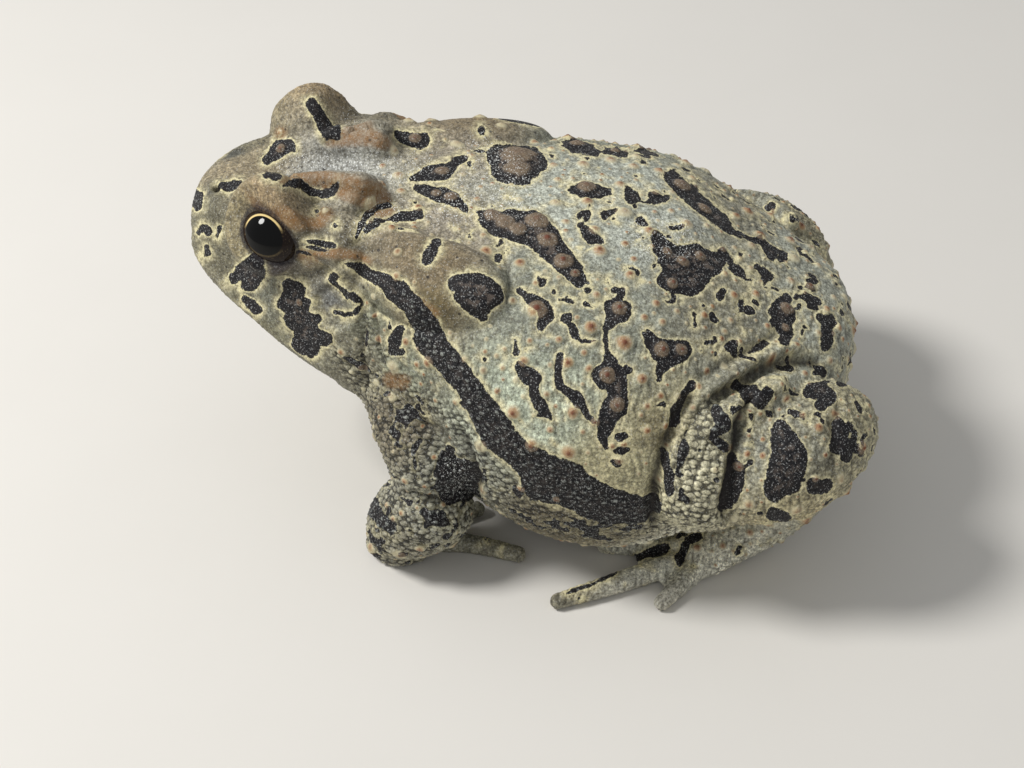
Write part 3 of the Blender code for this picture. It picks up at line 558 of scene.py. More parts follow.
# Ridges and grooves of the skin: rise in millimetres, then the string of discs.
# Where no disc is wider than FINE_CREASE, the edge is narrow.
FINE_CREASE = 1.2
FINE_EDGE = 0.28
WIDE_EDGE = 0.7
# Grooves, with a minus rise, are also darkened with painted shade
RIDGES = {
    "temple ridge": (0.55, [
        (306, 264, 4), (322, 258, 5), (340, 256, 5), (358, 259, 5), (372, 264, 4),
    ]),
    "fold over the thigh": (0.7, [
        (700, 395, 4), (718, 383, 4), (737, 372, 5), (760, 358, 5), (784, 347, 5),
        (797, 350, 4),
    ]),
    "crease under the fold": (-0.7, [
        (716, 396, 4), (737, 384, 4), (762, 368, 5), (790, 360, 4), (815, 362, 4),
    ]),
    "thigh crease": (-1.1, [
        (752, 398, 2.5), (741, 420, 4), (735, 450, 4.5), (730, 480, 5), (724, 512, 4),
    ]),
    "heel crease": (-0.5, [(829, 470, 2), (836, 446, 3), (832, 424, 2.5), (838, 406, 2)]),
    "second fold": (-0.45, [(702, 376, 1.6), (728, 362, 2), (752, 348, 2.4), (776, 334, 2)]),
    "hip crease": (-0.9, [
        (690, 398, 3), (676, 420, 3.5), (664, 446, 3.5), (656, 472, 3.5), (652, 500, 4),
        (654, 520, 4),
    ]),
    "armpit": (-0.7, [(462, 432, 1.6), (471, 455, 2.4), (479, 485, 3.4)]),
    "arm crease": (-0.4, [(424, 424, 1.4), (438, 428, 1.8), (449, 440, 1.4)]),
    "elbow crease": (-0.35, [(398, 478, 1.4), (404, 492, 2), (416, 502, 1.6)]),
    "gland crease": (-0.25, [(488, 230, 0.8), (503, 251, 1), (511, 278, 1.1), (507, 303, 0.8)]),
    "lid knob": (0.65, [(327, 216, 5)]),
    "brow": (0.75, [(247, 192, 3), (266, 201, 4), (287, 216, 4.5), (302, 230, 4.5)]),
    "near crest": (0.9, [(296, 181, 2.4), (330, 179, 3.5), (360, 182, 5), (376, 188, 7)]),
    "far crest": (0.8, [(322, 138, 2.4), (345, 129, 3), (368, 127, 4), (388, 131, 4)]),
    "gland pad": (0.2, [
        (385, 245, 14), (410, 255, 26), (440, 268, 34), (465, 278, 32), (480, 285, 24),
    ]),
    "throat fold": (-0.5, [(362, 300, 0.9), (364, 325, 1.3), (362, 350, 1.5), (366, 374, 1.3)]),
    "throat fold rear": (-0.4, [(373, 306, 0.9), (378, 330, 1.2), (381, 354, 1.2)]),
    "snout crease": (-0.12, [(243, 198, 0.8), (240, 224, 0.9), (243, 250, 0.8)]),
    "jaw crease": (-0.14, [(218, 263, 0.7), (227, 278, 0.8), (238, 296, 0.7)]),
}

# Warts seen in the photograph: pixel x, y, radius and strength of the rusty tip
SEEN_WARTS = [
    (281, 149, 6, 0.6), (281, 133, 5, 0.5), (327, 216, 6, 0.0), (436, 194, 7, 0.2),
    (451, 198, 9, 0.2), (442, 172, 9, 0.2), (415, 139, 8, 0.4), (471, 157, 6, 0.5),
    (518, 157, 22, 0.1), (517, 170, 17, 0.1), (492, 216, 11, 0.1), (505, 223, 13, 0.1),
    (518, 230, 11, 0.1), (537, 222, 15, 0.3), (547, 241, 13, 0.9), (563, 262, 12, 0.9),
    (575, 274, 6, 0.9), (586, 188, 12, 0.3), (577, 145, 10, 0.2), (615, 152, 7, 0.2),
    (583, 166, 9, 0.5), (610, 162, 9, 0.5), (633, 168, 8, 0.5), (620, 186, 8, 0.6),
    (558, 181, 6, 0.5), (555, 204, 8, 0.4), (655, 193, 6, 0.3), (595, 231, 8, 0.5),
    (624, 214, 11, 0.3), (599, 252, 10, 0.9), (625, 245, 6, 0.8), (630, 276, 8, 0.8),
    (520, 264, 8, 0.8), (566, 223, 6, 0.5), (686, 225, 9, 0.4), (667, 252, 6, 0.6),
    (682, 262, 9, 0.6), (672, 284, 8, 0.8), (681, 186, 12, 0.2), (704, 210, 10, 0.2),
    (537, 310, 13, 0.9), (536, 284, 5, 0.6), (577, 318, 4, 0.6), (591, 328, 10, 0.9),
    (619, 309, 10, 0.9), (624, 344, 12, 0.9), (656, 304, 6, 0.8), (644, 318, 6, 0.8),
    (662, 323, 6, 0.6), (662, 350, 10, 0.8), (681, 350, 8, 0.6), (642, 379, 8, 0.9),
    (568, 363, 8, 0.9), (607, 375, 10, 0.8), (617, 405, 9, 0.6), (589, 369, 6, 0.7),
    (595, 422, 6, 0.8), (584, 353, 5, 0.7), (559, 340, 5, 0.7), (530, 341, 5, 0.6),
    (524, 361, 7, 0.8), (505, 349, 4, 0.5), (497, 356, 4, 0.4), (503, 368, 4, 0.5),
    (484, 370, 6, 0.4), (498, 391, 5, 0.8), (547, 394, 5, 0.5), (550, 365, 4, 0.4),
    (514, 412, 10, 0.9), (573, 412, 9, 0.9), (532, 444, 9, 0.9), (569, 451, 11, 0.8),
    (612, 446, 5, 0.8), (624, 444, 5, 0.9), (647, 430, 6, 0.8), (666, 426, 6, 0.8),
    (619, 460, 6, 0.7), (641, 415, 4, 0.6), (660, 396, 6, 0.8), (647, 406, 6, 0.7),
    (739, 259, 5, 0.6), (750, 269, 5, 0.4), (755, 295, 7, 0.9), (733, 296, 7, 0.8),
    (790, 282, 7, 0.5), (809, 287, 7, 0.7), (704, 316, 6, 0.9), (721, 339, 5, 0.9),
    (730, 321, 5, 0.5), (724, 332, 5, 0.4), (712, 307, 4, 0.9), (739, 342, 5, 0.6),
    (707, 371, 6, 0.9), (697, 386, 5, 0.9), (846, 359, 6, 0.5), (699, 257, 8, 0.5),
    (722, 250, 5, 0.4), (751, 247, 7, 0.4), (734, 249, 5, 0.4), (786, 309, 9, 0.5),
    (785, 328, 6, 0.3), (826, 310, 6, 0.9), (838, 328, 6, 0.8), (407, 341, 6, 0.8),
    (363, 368, 6, 0.0), (378, 382, 6, 0.0), (364, 388, 4, 0.0), (342, 351, 6, 0.6),
    (352, 371, 4, 0.0), (395, 366, 10, 0.2), (393, 397, 6, 0.2), (429, 362, 8, 0.6),
    (418, 364, 5, 0.7), (456, 402, 5, 0.5), (747, 454, 5, 0.9), (763, 456, 5, 0.9),
    (763, 440, 4, 0.9), (803, 416, 5, 0.9), (818, 428, 7, 0.9), (835, 414, 8, 0.7),
    (739, 467, 6, 0.9), (759, 413, 5, 0.6), (742, 419, 7, 0.5), (733, 448, 6, 0.6),
    (715, 470, 4, 0.3), (815, 478, 5, 0.9), (749, 503, 8, 0.5), (734, 517, 8, 0.0),
    (796, 508, 10, 0.4), (839, 478, 9, 0.3), (825, 455, 4, 0.9), (733, 395, 4, 0.9),
    (810, 215, 6, 0.3), (300, 302, 5, 0.5), (434, 457, 4, 0.8), (557, 498, 5, 0.7),
    (388, 505, 4, 0.6), (402, 513, 4, 0.7),
]

# Granules: size, how they are drawn out along the body, size of the fine ones
GRAIN_SIZE = 0.68
GRAIN_STRETCH = np.array((1.0, 0.75, 1.25))
GRAIN_TURN = (37.0, 52.0)
FINE_GRAIN_SIZE = 0.46

# Scattered warts: smallest and largest radius, spacing, tries
WIDE_WARTS = (0.55, 1.15, 3.3, 2600)
FINE_WARTS = (0.26, 0.46, 1.75, 5200)

# How far each kind of surface keeps scattered warts off
BARE_KINDS = {"gland": 0.9, "head": 1.0, "thigh": 1.0, "patch": 1.0, "arm": 0.6, "digit": 1.0}

# Bump of the skin: strength, and depth in metres
BUMP_STRENGTH = 0.8
BUMP_DEPTH = 0.00022

# Creases of the flank: width in millimetres and rise
CREASE_WIDTH = 0.85
CREASE_RISE = 0.035


def place(points):
    """Body millimetres to the frame, in metres."""
    return np.asarray(points) * MM + ORIGIN


def unit(way):
    way = np.asarray(way, float)
    return way / np.linalg.norm(way)


def ease(low, high, values):
    """0 at low, 1 at high, smooth between; works both ways round."""
    share = np.clip((values - low) / (high - low), 0.0, 1.0)
    return share * share * (3 - 2 * share)


def hump(values, middle, width):
    """1 where a value is at the middle, falling off on both sides."""
    return np.exp(-((values - middle) / width) ** 2)


def least(gaps):
    """The smallest of several gaps at every point."""
    return functools.reduce(np.minimum, gaps)


def most(shares):
    """The largest of several shares at every point."""
    return functools.reduce(np.maximum, shares)


def on_side(values, side):
    """A place or way of the left side (1), or its mirror image (-1)."""
    return np.array(values) * (side, 1.0, 1.0)


def twin_path(path, shift=(0.0, 0.0, 0.0)):
    """A path of the left side mirrored to the right side and shifted."""
    return [(shift[0] - x, back + shift[1], *rest) for x, back, *rest in path]


def frame_origin():
    """Where body millimetre zero lies in the frame, from the eye's own box."""
    low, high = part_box("eye_left")
    middle = (np.array(low) + np.array(high)) / 2
    return middle - EYE_CENTRE * MM


ORIGIN = frame_origin()


def photo_axes():
    """Ways of the photograph: right, up and towards the camera."""
    turn = math.radians(VIEW_AZIMUTH)
    rise = math.radians(VIEW_ELEVATION)
    level = math.cos(rise)
    toward = np.array((math.sin(turn) * level, -math.cos(turn) * level, math.sin(rise)))
    right = unit(np.cross(-toward, (0.0, 0.0, 1.0)))
    return right, np.cross(right, -toward), toward


RIGHT, UP, TOWARD = photo_axes()
CAMERA_PLACE = VIEW_TARGET + TOWARD * VIEW_DISTANCE


def to_photo(points):
    """Pixel x, pixel y and depth of body points."""
    offset = points - CAMERA_PLACE
    depth = -(offset @ TOWARD)
    across = PHOTO_WIDTH / 2 + FOCAL_PIXELS * (offset @ RIGHT) / depth
    down = PHOTO_HEIGHT / 2 - FOCAL_PIXELS * (offset @ UP) / depth
    return np.stack((across, down), 1), depth


def blend(knots, shares):
    """Smooth curve through equally weighted knots, at shares from 0 to 1."""
    knots = np.asarray(knots, float)
    last = len(knots) - 1
    spots = np.clip(shares, 0.0, 1.0) * last
    low = np.minimum(spots.astype(int), last - 1)
    part = (spots - low)[:, None]
    before = knots[np.maximum(low - 1, 0)]
    start = knots[low]
    end = knots[low + 1]
    after = knots[np.minimum(low + 2, last)]
    curve = (2 * part ** 3 - 3 * part ** 2 + 1) * start
    curve += (part ** 3 - 2 * part ** 2 + part) * (end - before) / 2
    curve += (-2 * part ** 3 + 3 * part ** 2) * end
    curve += (part ** 3 - part ** 2) * (after - start) / 2
    return curve


def section_rings(sections, count):
    """Rings of the body between its cross sections, squared off as they say."""
    rows = blend(sections, np.linspace(0, 1, count))
    angles = np.linspace(0, 2 * math.pi, SECTION_POINTS, endpoint=False)
    across = np.cos(angles)
    up = np.sin(angles)
    back, half, top, wide, bottom, square_up, square_down = rows.T[:, :, None]
    square = np.where(up >= 0, square_up, square_down)
    rise = np.where(up >= 0, top - wide, wide - bottom)
    x = half * np.sign(across) * np.abs(across) ** (2 / square)
    z = wide + rise * np.sign(up) * np.abs(up) ** (2 / square)
    return np.stack((x, back + 0 * x, z), -1)


def loft(rings, bulges):
    """Closed skin over a row of rings, each end drawn out to a tip."""
    rows, count = rings.shape[:2]
    verts = list(rings.reshape(-1, 3))
    faces = []
    for row in range(rows - 1):
        for step in range(count):
            after = (step + 1) % count
            low = row * count
            faces.append((low + step, low + after, low + count + after, low + count + step))
    for row, inward, bulge in ((0, 1, bulges[0]), (rows - 1, -1, bulges[1])):
        centre = rings[row].mean(0)
        outward = unit(centre - rings[row + inward].mean(0))
        verts.append(centre + outward * bulge)
        for step in range(count):
            faces.append((row * count + step, row * count + (step + 1) % count, len(verts) - 1))
    return np.array(verts), faces


def path_rings(path, count, points):
    """Rings along a path of centre, half width and half height."""
    shares = np.linspace(0, 1, count)
    rows = blend(path, shares)
    ways = blend(path, shares + 0.01)[:, :3] - blend(path, shares - 0.01)[:, :3]
    angles = np.linspace(0, 2 * math.pi, points, endpoint=False)[:, None]
    rings = []
    for row, way in zip(rows, ways):
        side = np.cross(unit(way), (0.0, 0.0, 1.0))
        if np.linalg.norm(side) < 0.2:
            side = np.cross(unit(way), (0.0, 1.0, 0.0))
        side = unit(side)
        up = np.cross(side, unit(way))
        rings.append(row[:3] + side * np.cos(angles) * row[3] + up * np.sin(angles) * row[4])
    return np.array(rings)


def slender(path):
    """A finger or toe drawn thinner, still lying on the floor."""
    thin = DIGIT_SLENDER
    return [(x, back, z * thin, radius * thin) for x, back, z, radius in path]


def tube(path):
    """A round form along a path with one radius at each knot."""
    path = [(x, back, z, radius, radius) for x, back, z, radius in path]
    rings = path_rings(path, TUBE_RINGS_PER_KNOT * len(path), TUBE_POINTS)
    return loft(rings, (TUBE_BULGE * path[0][3], TUBE_BULGE * path[-1][3]))


def turned(points, tilt, yaw):
    """Tilted about the body's length, then turned about the vertical."""
    sine, cosine = math.sin(math.radians(tilt)), math.cos(math.radians(tilt))
    about_y = np.array(((cosine, 0, sine), (0, 1, 0), (-sine, 0, cosine)))
    sine, cosine = math.sin(math.radians(yaw)), math.cos(math.radians(yaw))
    about_z = np.array(((cosine, -sine, 0), (sine, cosine, 0), (0, 0, 1)))
    return points @ (about_z @ about_y).T


def ellipsoid(centre, radii, tilt=0.0, yaw=0.0, around=40, rows=24):
    polar = np.linspace(0, math.pi, rows + 1)[1:-1, None]
    angles = np.linspace(0, 2 * math.pi, around, endpoint=False)[None, :]
    x = radii[0] * np.sin(polar) * np.cos(angles)
    y = -radii[1] * np.cos(polar) + 0 * angles
    z = radii[2] * np.sin(polar) * np.sin(angles)
    rings = turned(np.stack((x, y, z), -1), tilt, yaw) + np.array(centre)
    bulge = radii[1] * (1 - math.cos(polar[0, 0]))
    return loft(rings, (bulge, bulge))


def limb(path, bulges):
    """A full, rounded limb with no hollow side."""
    verts, _ = loft(path_rings(path, LIMB_RINGS, LIMB_POINTS), bulges)
    shape = bmesh.new()
    for vert in verts:
        shape.verts.new(vert)
    bmesh.ops.convex_hull(shape, input=shape.verts)
    loose = [v for v in shape.verts if not v.link_faces]
    bmesh.ops.delete(shape, geom=loose, context="VERTS")
    shape.verts.index_update()
    verts = np.array([v.co for v in shape.verts])
    faces = [tuple(v.index for v in face.verts) for face in shape.faces]
    shape.free()
    return verts, faces


def mirrored(pieces, shift=(0.0, 0.0, 0.0)):
    """The same pieces on the animal's right side, shifted."""
    twins = []
    for verts, faces in pieces:
        twins.append((on_side(verts, -1.0) + shift, [face[::-1] for face in faces]))
    return twins


def leg_pieces():
    pieces = [limb(LEG_PATH, LEG_BULGES), limb(SHANK_PATH, SHANK_BULGES)]
    pieces.append(loft(path_rings(FOOT_PATH, FOOT_RINGS, LIMB_POINTS), FOOT_BULGES))
    pieces += [tube(slender(path)) for path in TOES]
    pieces += [ellipsoid(centre, radii) for centre, radii in WEBS]
    return pieces


def arm_pieces():
    pieces = [limb(ARM_PATH, ARM_BULGES), limb(FOREARM_PATH, FOREARM_BULGES)]
    pieces.append(ellipsoid(HAND_CENTRE, HAND_RADII))
    pieces += [tube(slender(path)) for path in FINGERS]
    return pieces


def head_pieces():
    pieces = [ellipsoid(LID_CENTRE, LID_RADII), ellipsoid(LID_REAR_CENTRE, LID_REAR_RADII)]
    ridges = (CREST_PATH, CANTHUS_PATH, POST_ORBITAL_PATH, TEMPLE_PATH, HIP_FOLD_PATH)
    pieces += [tube(path) for path in ridges]
    pieces.append(ellipsoid(GLAND_CENTRE, GLAND_RADII, GLAND_TILT, GLAND_YAW))
    return pieces


def add_object(name, data):
    made = bpy.data.objects.new(name, data)
    bpy.context.scene.collection.objects.link(made)
    return made


def outward_mesh(name, verts, faces):
    """A mesh with all its faces turned outward."""
    mesh = bpy.data.meshes.new(name)
    mesh.from_pydata([tuple(vert) for vert in verts], [], faces)
    shape = bmesh.new()
    shape.from_mesh(mesh)
    bmesh.ops.recalc_face_normals(shape, faces=shape.faces)
    shape.to_mesh(mesh)
    shape.free()
    return mesh


def base_mesh():
    """All forms as one mesh, in body millimetres."""
    trunk = section_rings(HEAD_SECTIONS, HEAD_RINGS)[:-1]
    trunk = np.concatenate((trunk, section_rings(TRUNK_SECTIONS, TRUNK_RINGS)))
    near = head_pieces() + arm_pieces()
    leg = leg_pieces()
    pieces = [loft(trunk, TRUNK_BULGES)] + near + mirrored(near)
    pieces += leg + mirrored(leg, FAR_LEG_SHIFT)
    verts = []
    faces = []
    for piece_verts, piece_faces in pieces:
        start = len(verts)
        verts += list(piece_verts)
        faces += [tuple(start + index for index in face) for face in piece_faces]
    return outward_mesh("base", verts, faces)


def remeshed(mesh):
    """The forms of a mesh joined to one skin of four-sided faces."""
    holder = add_object("holder", mesh)
    step = holder.modifiers.new("step", "REMESH")
    step.mode = "VOXEL"
    step.voxel_size = VOXEL
    graph = bpy.context.evaluated_depsgraph_get()
    result = bpy.data.meshes.new_from_object(holder.evaluated_get(graph))
    bpy.data.objects.remove(holder, do_unlink=True)
    bpy.data.meshes.remove(mesh)
    return result


def read_rows(items, field, width, kind=float):
    """Numbers of the points, edges or corners of a mesh, in rows."""
    flat = np.empty(len(items) * width, dtype=kind)
    items.foreach_get(field, flat)
    return flat.reshape(-1, width)


def read_points(mesh):
    return read_rows(mesh.vertices, "co", 3)


def write_points(mesh, points):
    mesh.vertices.foreach_set("co", points.ravel())
    mesh.update()


def read_normals(mesh):
    return read_rows(mesh.vertex_normals, "vector", 3, np.float32).astype(float)


def read_edges(mesh):
    return read_rows(mesh.edges, "vertices", 2, np.int32)


def read_quads(mesh):
    return read_rows(mesh.loops, "vertex_index", 1, np.int32).reshape(-1, 4)


def relax(values, edges, rounds, weight):
    """Draw every point towards the middle of its neighbours."""
    count = len(values)
    near = np.bincount(edges.ravel(), minlength=count)[:, None]
    for _ in range(rounds):
        total = np.empty_like(values)
        for axis in range(values.shape[1]):
            row = values[:, axis]
            total[:, axis] = np.bincount(edges[:, 0], row[edges[:, 1]], count)
            total[:, axis] += np.bincount(edges[:, 1], row[edges[:, 0]], count)
        values = values + weight * (total / near - values)
    return values


def quad_mesh(name, points, quads):
    """A mesh of four-sided faces only."""
    mesh = bpy.data.meshes.new(name)
    mesh.vertices.add(len(points))
    mesh.loops.add(4 * len(quads))
    mesh.polygons.add(len(quads))
    mesh.vertices.foreach_set("co", points.ravel())
    mesh.loops.foreach_set("vertex_index", quads.astype(np.int32).ravel())
    mesh.polygons.foreach_set("loop_start", np.arange(0, 4 * len(quads), 4, dtype=np.int32))
    mesh.update(calc_edges=True)
    return mesh


def row_sums(index, rows, count):
    """Sum of the rows that fall on each of count places."""
    return np.stack([np.bincount(index, row, count) for row in rows.T], 1)


def subdivided(mesh):
    """One round of smooth subdivision of a mesh of four-sided faces."""
    points = read_points(mesh)
    quads = read_quads(mesh)
    ends = read_edges(mesh)
    sides = read_rows(mesh.loops, "edge_index", 1, np.int32).ravel()
    count = len(points)
    middles = points[quads].mean(1)
    edge_faces = row_sums(sides, np.repeat(middles, 4, 0), len(ends))
    sharing = np.bincount(sides, minlength=len(ends))[:, None]
    edge_points = (points[ends].sum(1) + edge_faces) / (2 + sharing)
    edge_middles = points[ends].mean(1)
    valence = np.bincount(ends.ravel(), minlength=count)[:, None]
    around_faces = row_sums(quads.ravel(), np.repeat(middles, 4, 0), count)
    around_faces /= np.bincount(quads.ravel(), minlength=count)[:, None]
    around_edges = row_sums(ends.ravel(), np.repeat(edge_middles, 2, 0), count) / valence
    corners = (around_faces + 2 * around_edges + (valence - 3) * points) / valence
    sides = sides.reshape(-1, 4)
    centres = count + len(ends) + np.arange(len(quads))
    parts = []
    for corner in range(4):
        after = count + sides[:, corner]
        before = count + sides[:, corner - 1]
        parts.append(np.stack((quads[:, corner], after, centres, before), 1))
    bpy.data.meshes.remove(mesh)
    points = np.concatenate((corners, edge_points, middles))
    return quad_mesh("skin", points, np.concatenate(parts))


def chain_gap(points, chain):
    """Distance outside a string of discs or balls joined by tapering bands."""
    best = np.full(len(points), 1e6)
    chain = [np.array(link, float) for link in chain]
    for start, end in zip(chain, chain[1:] or chain):
        along = end[:-1] - start[:-1]
        share = np.clip((points - start[:-1]) @ along / max(along @ along, 1e-9), 0.0, 1.0)
        gap = np.linalg.norm(points - start[:-1] - share[:, None] * along, axis=1)
        best = np.minimum(best, gap - start[-1] - (end[-1] - start[-1]) * share)
    return best


def path_gap(points, path):
    """Distance outside a limb; its mean half width stands for its radius."""
    rows = blend(path, np.linspace(0, 1, 3 * len(path)))
    return chain_gap(points, [(*row[:3], (row[3] + row[4]) / 2) for row in rows])


def cell_value(cells, seed):
    """A repeatable value from 0 to 1 for each whole-number cell."""
    mixed = seed * 668265263
    for axis, prime in enumerate((73856093, 19349663, 83492791)):
        mixed = mixed ^ cells[..., axis] * prime
    mixed = (mixed ^ (mixed >> 15)) * 2246822519 & 0xFFFFFFFF
    mixed = (mixed ^ (mixed >> 13)) * 3266489917 & 0xFFFFFFFF
    return ((mixed ^ (mixed >> 16)) & 0xFFFF) / 65535.0


def cloud(points, size, seed):
    """Smooth noise from 0 to 1 with features about size millimetres wide."""
    spots = points / size
    cells = np.floor(spots).astype(np.int64)
    part = spots - cells
    part = part * part * (3 - 2 * part)
    total = np.zeros(len(points))
    for corner in range(8):
        offset = np.array((corner & 1, corner >> 1 & 1, corner >> 2 & 1))
        weight = np.prod(np.where(offset, part, 1 - part), axis=1)
        total += weight * cell_value(cells + offset, seed)
    return total


def pebbles(points, size, seed):
    """Rounded grains about size wide: 1 at a grain's top, 0 between grains."""
    spots = points / size
    cells = np.floor(spots).astype(np.int64)
    first = np.full(len(points), 9.0)
    second = np.full(len(points), 9.0)
    for step in range(27):
        offset = np.array((step % 3 - 1, step // 3 % 3 - 1, step // 9 - 1))
        near = cells + offset
        jitter = np.stack([cell_value(near, seed + axis) for axis in range(3)], 1)
        gap = np.linalg.norm(near + 0.15 + 0.7 * jitter - spots, axis=1)
        second = np.minimum(second, np.maximum(first, gap))
        first = np.minimum(first, gap)
    return np.clip(1.15 * (second - first) + 0.9 * (0.62 - first), 0.0, 1.0)


class Skin:
    """The skin's points with what later steps need to know about them."""

    def __init__(self, mesh, tree):
        self.tree = tree
        self.points = read_points(mesh)
        self.count = len(self.points)
        self.normals = read_normals(mesh)
        self.twin = self.near_side_places()
        self.pixels, _ = to_photo(self.points)
        self.twin_pixels, _ = to_photo(self.twin)

    def near_side_places(self):
        """Each point of the right half carried to the left half."""
        paths = [twin_path(path, FAR_LEG_SHIFT) for path in (LEG_PATH, SHANK_PATH, FOOT_PATH)]
        gap = least(path_gap(self.points, path) for path in paths)
        share = ease(3.0, 0.0, gap)[:, None]
        moved = on_side(self.points - share * FAR_LEG_SHIFT, -1.0)
        return np.where(self.points[:, :1] < 0, moved, self.points)

    def lift(self, pixel):
        """Where the line of sight through a pixel meets the skin, if it does."""
        across = pixel[0] - PHOTO_WIDTH / 2
        down = pixel[1] - PHOTO_HEIGHT / 2
        way = RIGHT * across - UP * down - TOWARD * FOCAL_PIXELS
        spot, normal, _, _ = self.tree.ray_cast(Vector(CAMERA_PLACE), Vector(unit(way)))
        if spot is None:
            return None
        return np.array(spot), np.array(normal)

    def hidden_twin(self, normal):
        """True if the mirror image of a place looks away from the camera."""
        return on_side(normal, -1.0) @ TOWARD < TWIN_FACING

    def string_gap(self, chain):
        """Millimetres outside a string of discs, on both sides of the body."""
        gap = np.full(self.count, NO_MARK)
        hits = [(self.lift(link[:2]), link[2]) for link in chain]
        hits = [(hit[0], hit[1], radius) for hit, radius in hits if hit is not None]
        if not hits:
            return gap
        scale = to_photo(np.array([hit[0] for hit in hits]))[1].mean() / FOCAL_PIXELS
        balls = [(*spot, radius * scale * BALL_MARGIN) for spot, _, radius in hits]
        middle = np.mean([spot for spot, _, _ in hits], axis=0)
        extent = max(np.linalg.norm(np.array(ball[:3]) - middle) + ball[3] for ball in balls)
        extent += MARK_REACH
        normal = np.mean([normal for _, normal, _ in hits], axis=0)
        views = [(self.points, self.pixels, None)]
        if self.hidden_twin(normal):
            views.append((self.twin, self.twin_pixels, self.points[:, 0] < 0))
        for places, pixels, side in views:
            near = (np.abs(places - middle) < extent).all(axis=1)
            if side is not None:
                near &= side
            index = np.flatnonzero(near)
            index = index[chain_gap(places[index], balls) < MARK_REACH]
            drawn = chain_gap(pixels[index], chain) * scale
            gap[index] = np.minimum(gap[index], drawn)
        return gap

    def marks_gap(self, marks):
        return least(self.string_gap(chain) for chain in marks.values())


def push_swells(points, normals):
    """The points moved in and out by the soft rises and hollows."""
    total = np.zeros(len(points))
    for centre, radii, push in SWELLS:
        for side in SIDES if centre[0] > 0.0 else SIDES[:1]:
            offset = (points - on_side(centre, side)) / radii
            total += push * ease(1.0, 0.0, np.linalg.norm(offset, axis=1))
    return points + normals * total[:, None]


def mouth_height(back):
    share = (back - MOUTH_FRONT[0]) / (MOUTH_CORNER[0] - MOUTH_FRONT[0])
    return MOUTH_FRONT[1] + (MOUTH_CORNER[1] - MOUTH_FRONT[1]) * share


def mouth_relief(points):
    """A full upper lip over a thin groove, with the jaw set back below it, and painted shade along
    the groove.
    """
    back = points[:, 1]
    above = points[:, 2] - mouth_height(back)
    ahead = ease(20.5, 18.5, back)
    groove = -0.55 * hump(above, 0.0, 0.22)
    lip = 0.42 * ease(0.1, 0.7, above) * ease(2.9, 1.3, above)
    jaw = -0.45 * ease(0.0, -0.5, above) * ease(-5.5, -2.0, above)
    return ahead * (groove + lip + jaw), ahead * hump(above, 0.0, 0.26)


def eardrum_relief(points):
    """A shallow dish with a raised rim on both sides."""
    total = np.zeros(len(points))
    for side in SIDES:
        gap = np.linalg.norm(points - on_side(EARDRUM_CENTRE, side), axis=1)
        total -= 0.35 * ease(EARDRUM_REACH + 0.1, EARDRUM_REACH - 0.5, gap)
        total += 0.22 * hump(gap - EARDRUM_REACH, 0.35, 0.42)
    return total


def eye_ways(side, middle):
    """Middle, long and short way of the opening between the lids or of a pupil."""
    axis = unit(middle)
    long_way = np.array(EYE_LONG_WAY)
    long_way = unit(long_way - axis * (long_way @ axis))
    return [on_side(way, side) for way in (axis, long_way, np.cross(axis, long_way))]


def oval_spread(rays, ways, spreads):
    """How far rays lie from the middle of an oval opening, as a share of it."""
    axis, long_way, short_way = ways
    ahead = np.clip(rays @ axis, -1.0, 1.0)
    flat = rays - ahead[:, None] * axis
    flat /= np.maximum(np.linalg.norm(flat, axis=1), 1e-9)[:, None]
    shape = np.hypot(flat @ long_way / spreads[0], flat @ short_way / spreads[1])
    return np.arccos(ahead) * shape


def upper_share(rays, ways):
    """How far rays lie towards the upper rim of an eye."""
    return 0.8 * (rays @ ways[2]) - 0.6 * (rays @ ways[1])


def open_lids(points):
    """Draw the skin into the socket inside the opening and round its edge; return how far each
    point lies out from the opening, which sets the painted shade under the brow.
    """
    spreads = np.full(len(points), LID_SPREADS[-1])
    for side in SIDES:
        centre = on_side(EYE_CENTRE, side)
        ways = eye_ways(side, EYE_AXIS)
        arm = points - centre
        reach = np.linalg.norm(arm, axis=1)
        index = np.flatnonzero((reach < LID_REACH[1]) & (arm @ ways[0] > -0.5))
        rays = arm[index] / reach[index, None]
        spread = oval_spread(rays, ways, EYE_SPREADS)
        wanted = EYE_RADIUS + np.interp(spread, LID_SPREADS, LID_HEIGHTS)
        angle = np.arccos(np.clip(rays @ ways[0], -1.0, 1.0))
        weight = ease(1.38, 1.05, spread) * ease(math.radians(80.0), math.radians(66.0), angle)
        weight *= ease(LID_REACH[1], LID_REACH[0], reach[index])
        moved = reach[index] + (wanted - reach[index]) * weight
        points[index] = centre + rays * moved[:, None]
        # The painted shade under the brow reaches further on the upper side
        upward = ease(0.50, 0.66, upper_share(rays, ways))
        spreads[index] = np.minimum(spreads[index], 1 + (spread - 1) / (1 + 0.9 * upward))
    return spreads


